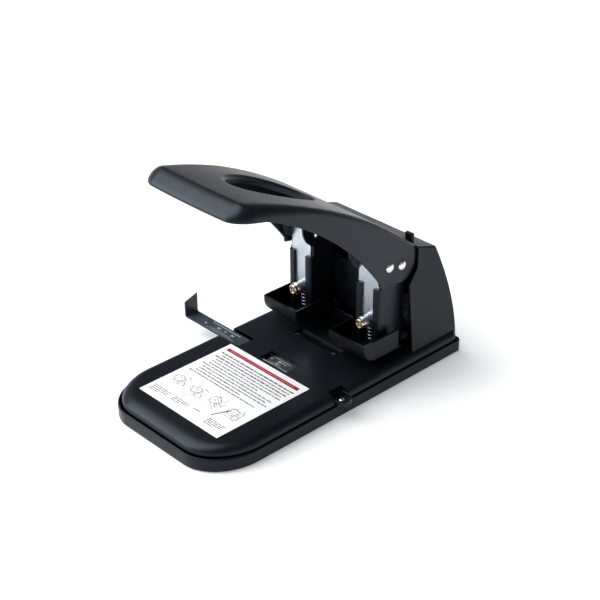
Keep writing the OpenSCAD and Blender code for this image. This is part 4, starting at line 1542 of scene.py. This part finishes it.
@dataclass
class Fittings:
    """The small and inner pieces, each with its own edge rounding and finish."""

    rows: tuple[tuple[str, float, Coated | Metal], ...] = (
        ("guide_rail", 0.2, PLAIN_STEEL), ("guide_spring", 0.1, PLAIN_STEEL), ("die_plate", 0.3, TOOL_STEEL),
        ("die_screws", 0.15, PLAIN_STEEL), ("left_die", 0.2, TOOL_STEEL), ("right_die", 0.2, TOOL_STEEL),
        ("back_stop", 0.3, POWDER_COAT), ("upright_bolts", 0.3, PLAIN_STEEL), ("cross_brace", 0.4, POWDER_COAT),
        ("brace_rivets", 0.3, PLAIN_STEEL), ("left_punch_guide", 0.3, TOOL_STEEL),
        ("right_punch_guide", 0.3, TOOL_STEEL), ("guard_screws", 0.2, PLAIN_STEEL),
        ("cover_bracket", 0.3, PLAIN_STEEL), ("cover_screws", 0.2, BLACK_SCREW), ("handle_stop", 0.7, MOULDED_PLASTIC))

    def make_bare_edge(self) -> None:
        """Lays a bright steel strip along the back stop's top front edge: a painted highlight."""
        box = Box.of("back_stop")
        bm = bmesh.new()
        place_box(bm, (box.lo.x + 1, box.lo.y - 0.1, box.hi.z - 0.5),
                  (box.hi.x - 1, box.lo.y + 0.7, box.hi.z + 0.08))
        round_off(bm, sharp_edges(bm, 40), 0.12, 2)
        Piece("back_stop_edge", Body.FRAME, HIGHLIGHT_STRIP_STEEL, slot="plain_steel").make(bm)

    def build(self) -> None:
        """Rounds and dresses each piece."""
        self.make_bare_edge()
        for node, radius, finish in self.rows:
            Piece(f"{node}_made", Body.FRAME, finish, node).make(refined(node, radius))


@dataclass
class Studio:
    """The floor, the soft lights and the camera."""

    camera_at: Triple = (0.7358, -0.6745, 0.6470)
    azimuth: float = 46.78
    pitch: float = 29.79
    roll: float = -0.38
    lens: float = 84.88
    floor_size: float = 12.0
    key_at: Triple = (-1.26, -1.3, 0.85)
    key_size: Pair = (1.1, 0.8)

    def make_camera(self) -> None:
        """Sets the camera up from its place and angles."""
        a, e, r = (radians(v) for v in (self.azimuth, self.pitch, self.roll))
        ahead = Vector((-sin(a) * cos(e), cos(a) * cos(e), -sin(e)))
        right = Vector((cos(a), sin(a), 0))
        up = right.cross(ahead)
        right, up = right * cos(r) + up * sin(r), up * cos(r) - right * sin(r)
        data = bpy.data.cameras.new("camera")
        data.lens = self.lens
        data.sensor_width = 36.0
        camera = place_object("camera", data)
        turn = Matrix((right, up, -ahead)).transposed().to_4x4()
        camera.matrix_world = Matrix.Translation(self.camera_at) @ turn
        bpy.context.scene.camera = camera

    def make_floor(self) -> None:
        """Lays a large pale floor."""
        bm = bmesh.new()
        bmesh.ops.create_grid(bm, x_segments=2, y_segments=2, size=self.floor_size / 2)
        mesh = bpy.data.meshes.new("floor")
        bm.to_mesh(mesh)
        bm.free()
        mesh.materials.append(PALETTE.get(FLOOR_PAINT))
        place_object("floor", mesh)

    def make_lights(self) -> None:
        """Hangs a wide overhead light, as even as a light ceiling, and one soft box at the front left."""
        sun = bpy.data.lights.new("ceiling", "SUN")
        sun.energy = 3.0
        sun.angle = radians(55)
        ceiling = place_object("ceiling", sun)
        ceiling.rotation_euler = Vector((0.5, 0.35, -1.0)).to_track_quat("-Z", "Y").to_euler()
        area = bpy.data.lights.new("key", "AREA")
        area.shape = "RECTANGLE"
        area.size, area.size_y = self.key_size
        area.energy = 16.0
        key = place_object("key", area)
        key.location = self.key_at
        key.rotation_euler = (Vector((0, 0, 0.08)) - key.location).to_track_quat("-Z", "Y").to_euler()

    def make_world(self) -> None:
        """Fills the room with light that is bright at the horizon and dim overhead."""
        world = bpy.data.worlds.new("room")
        world.use_nodes = True
        tree = world.node_tree
        tree.nodes.clear()
        view = add_node(tree, "TexCoord", {}).outputs["Generated"]
        axes = add_node(tree, "SeparateXYZ", {"Vector": view}).outputs
        level = add_node(tree, "MapRange", {"Value": axes["Z"], "From Min": 0.08, "From Max": 0.42,
                                            "To Min": 1.0, "To Max": 0.12})
        rear = add_node(tree, "MapRange", {"Value": axes["Y"], "From Min": 0.0, "From Max": 0.75,
                                           "To Min": 1.0, "To Max": 0.5})
        both = add_node(tree, "Math", {0: level.outputs["Result"], 1: rear.outputs["Result"]},
                        operation="MULTIPLY")
        sky = add_node(tree, "Background", {"Color": linear("#f1f5fb"), "Strength": both.outputs["Value"]})
        add_node(tree, "OutputWorld", {"Surface": sky.outputs["Background"]})
        bpy.context.scene.world = world
        bpy.context.scene.view_settings.view_transform = "Standard"

    def build(self) -> None:
        """Builds the studio."""
        self.make_camera()
        self.make_floor()
        self.make_world()
        self.make_lights()


def main() -> None:
    """Builds every sub-assembly in order, then the studio."""
    logging.basicConfig(level=logging.INFO, format="%(name)s: %(message)s")
    Base().build()
    Label().build()
    PaperGuide().build()
    for side in Side:
        Upright(side).build()
        Guard(side).build()
        PunchUnit(side).build()
    Fittings().build()
    Cover().build()
    Handle().build()
    Studio().build()


if __name__ == "__main__":
    main()
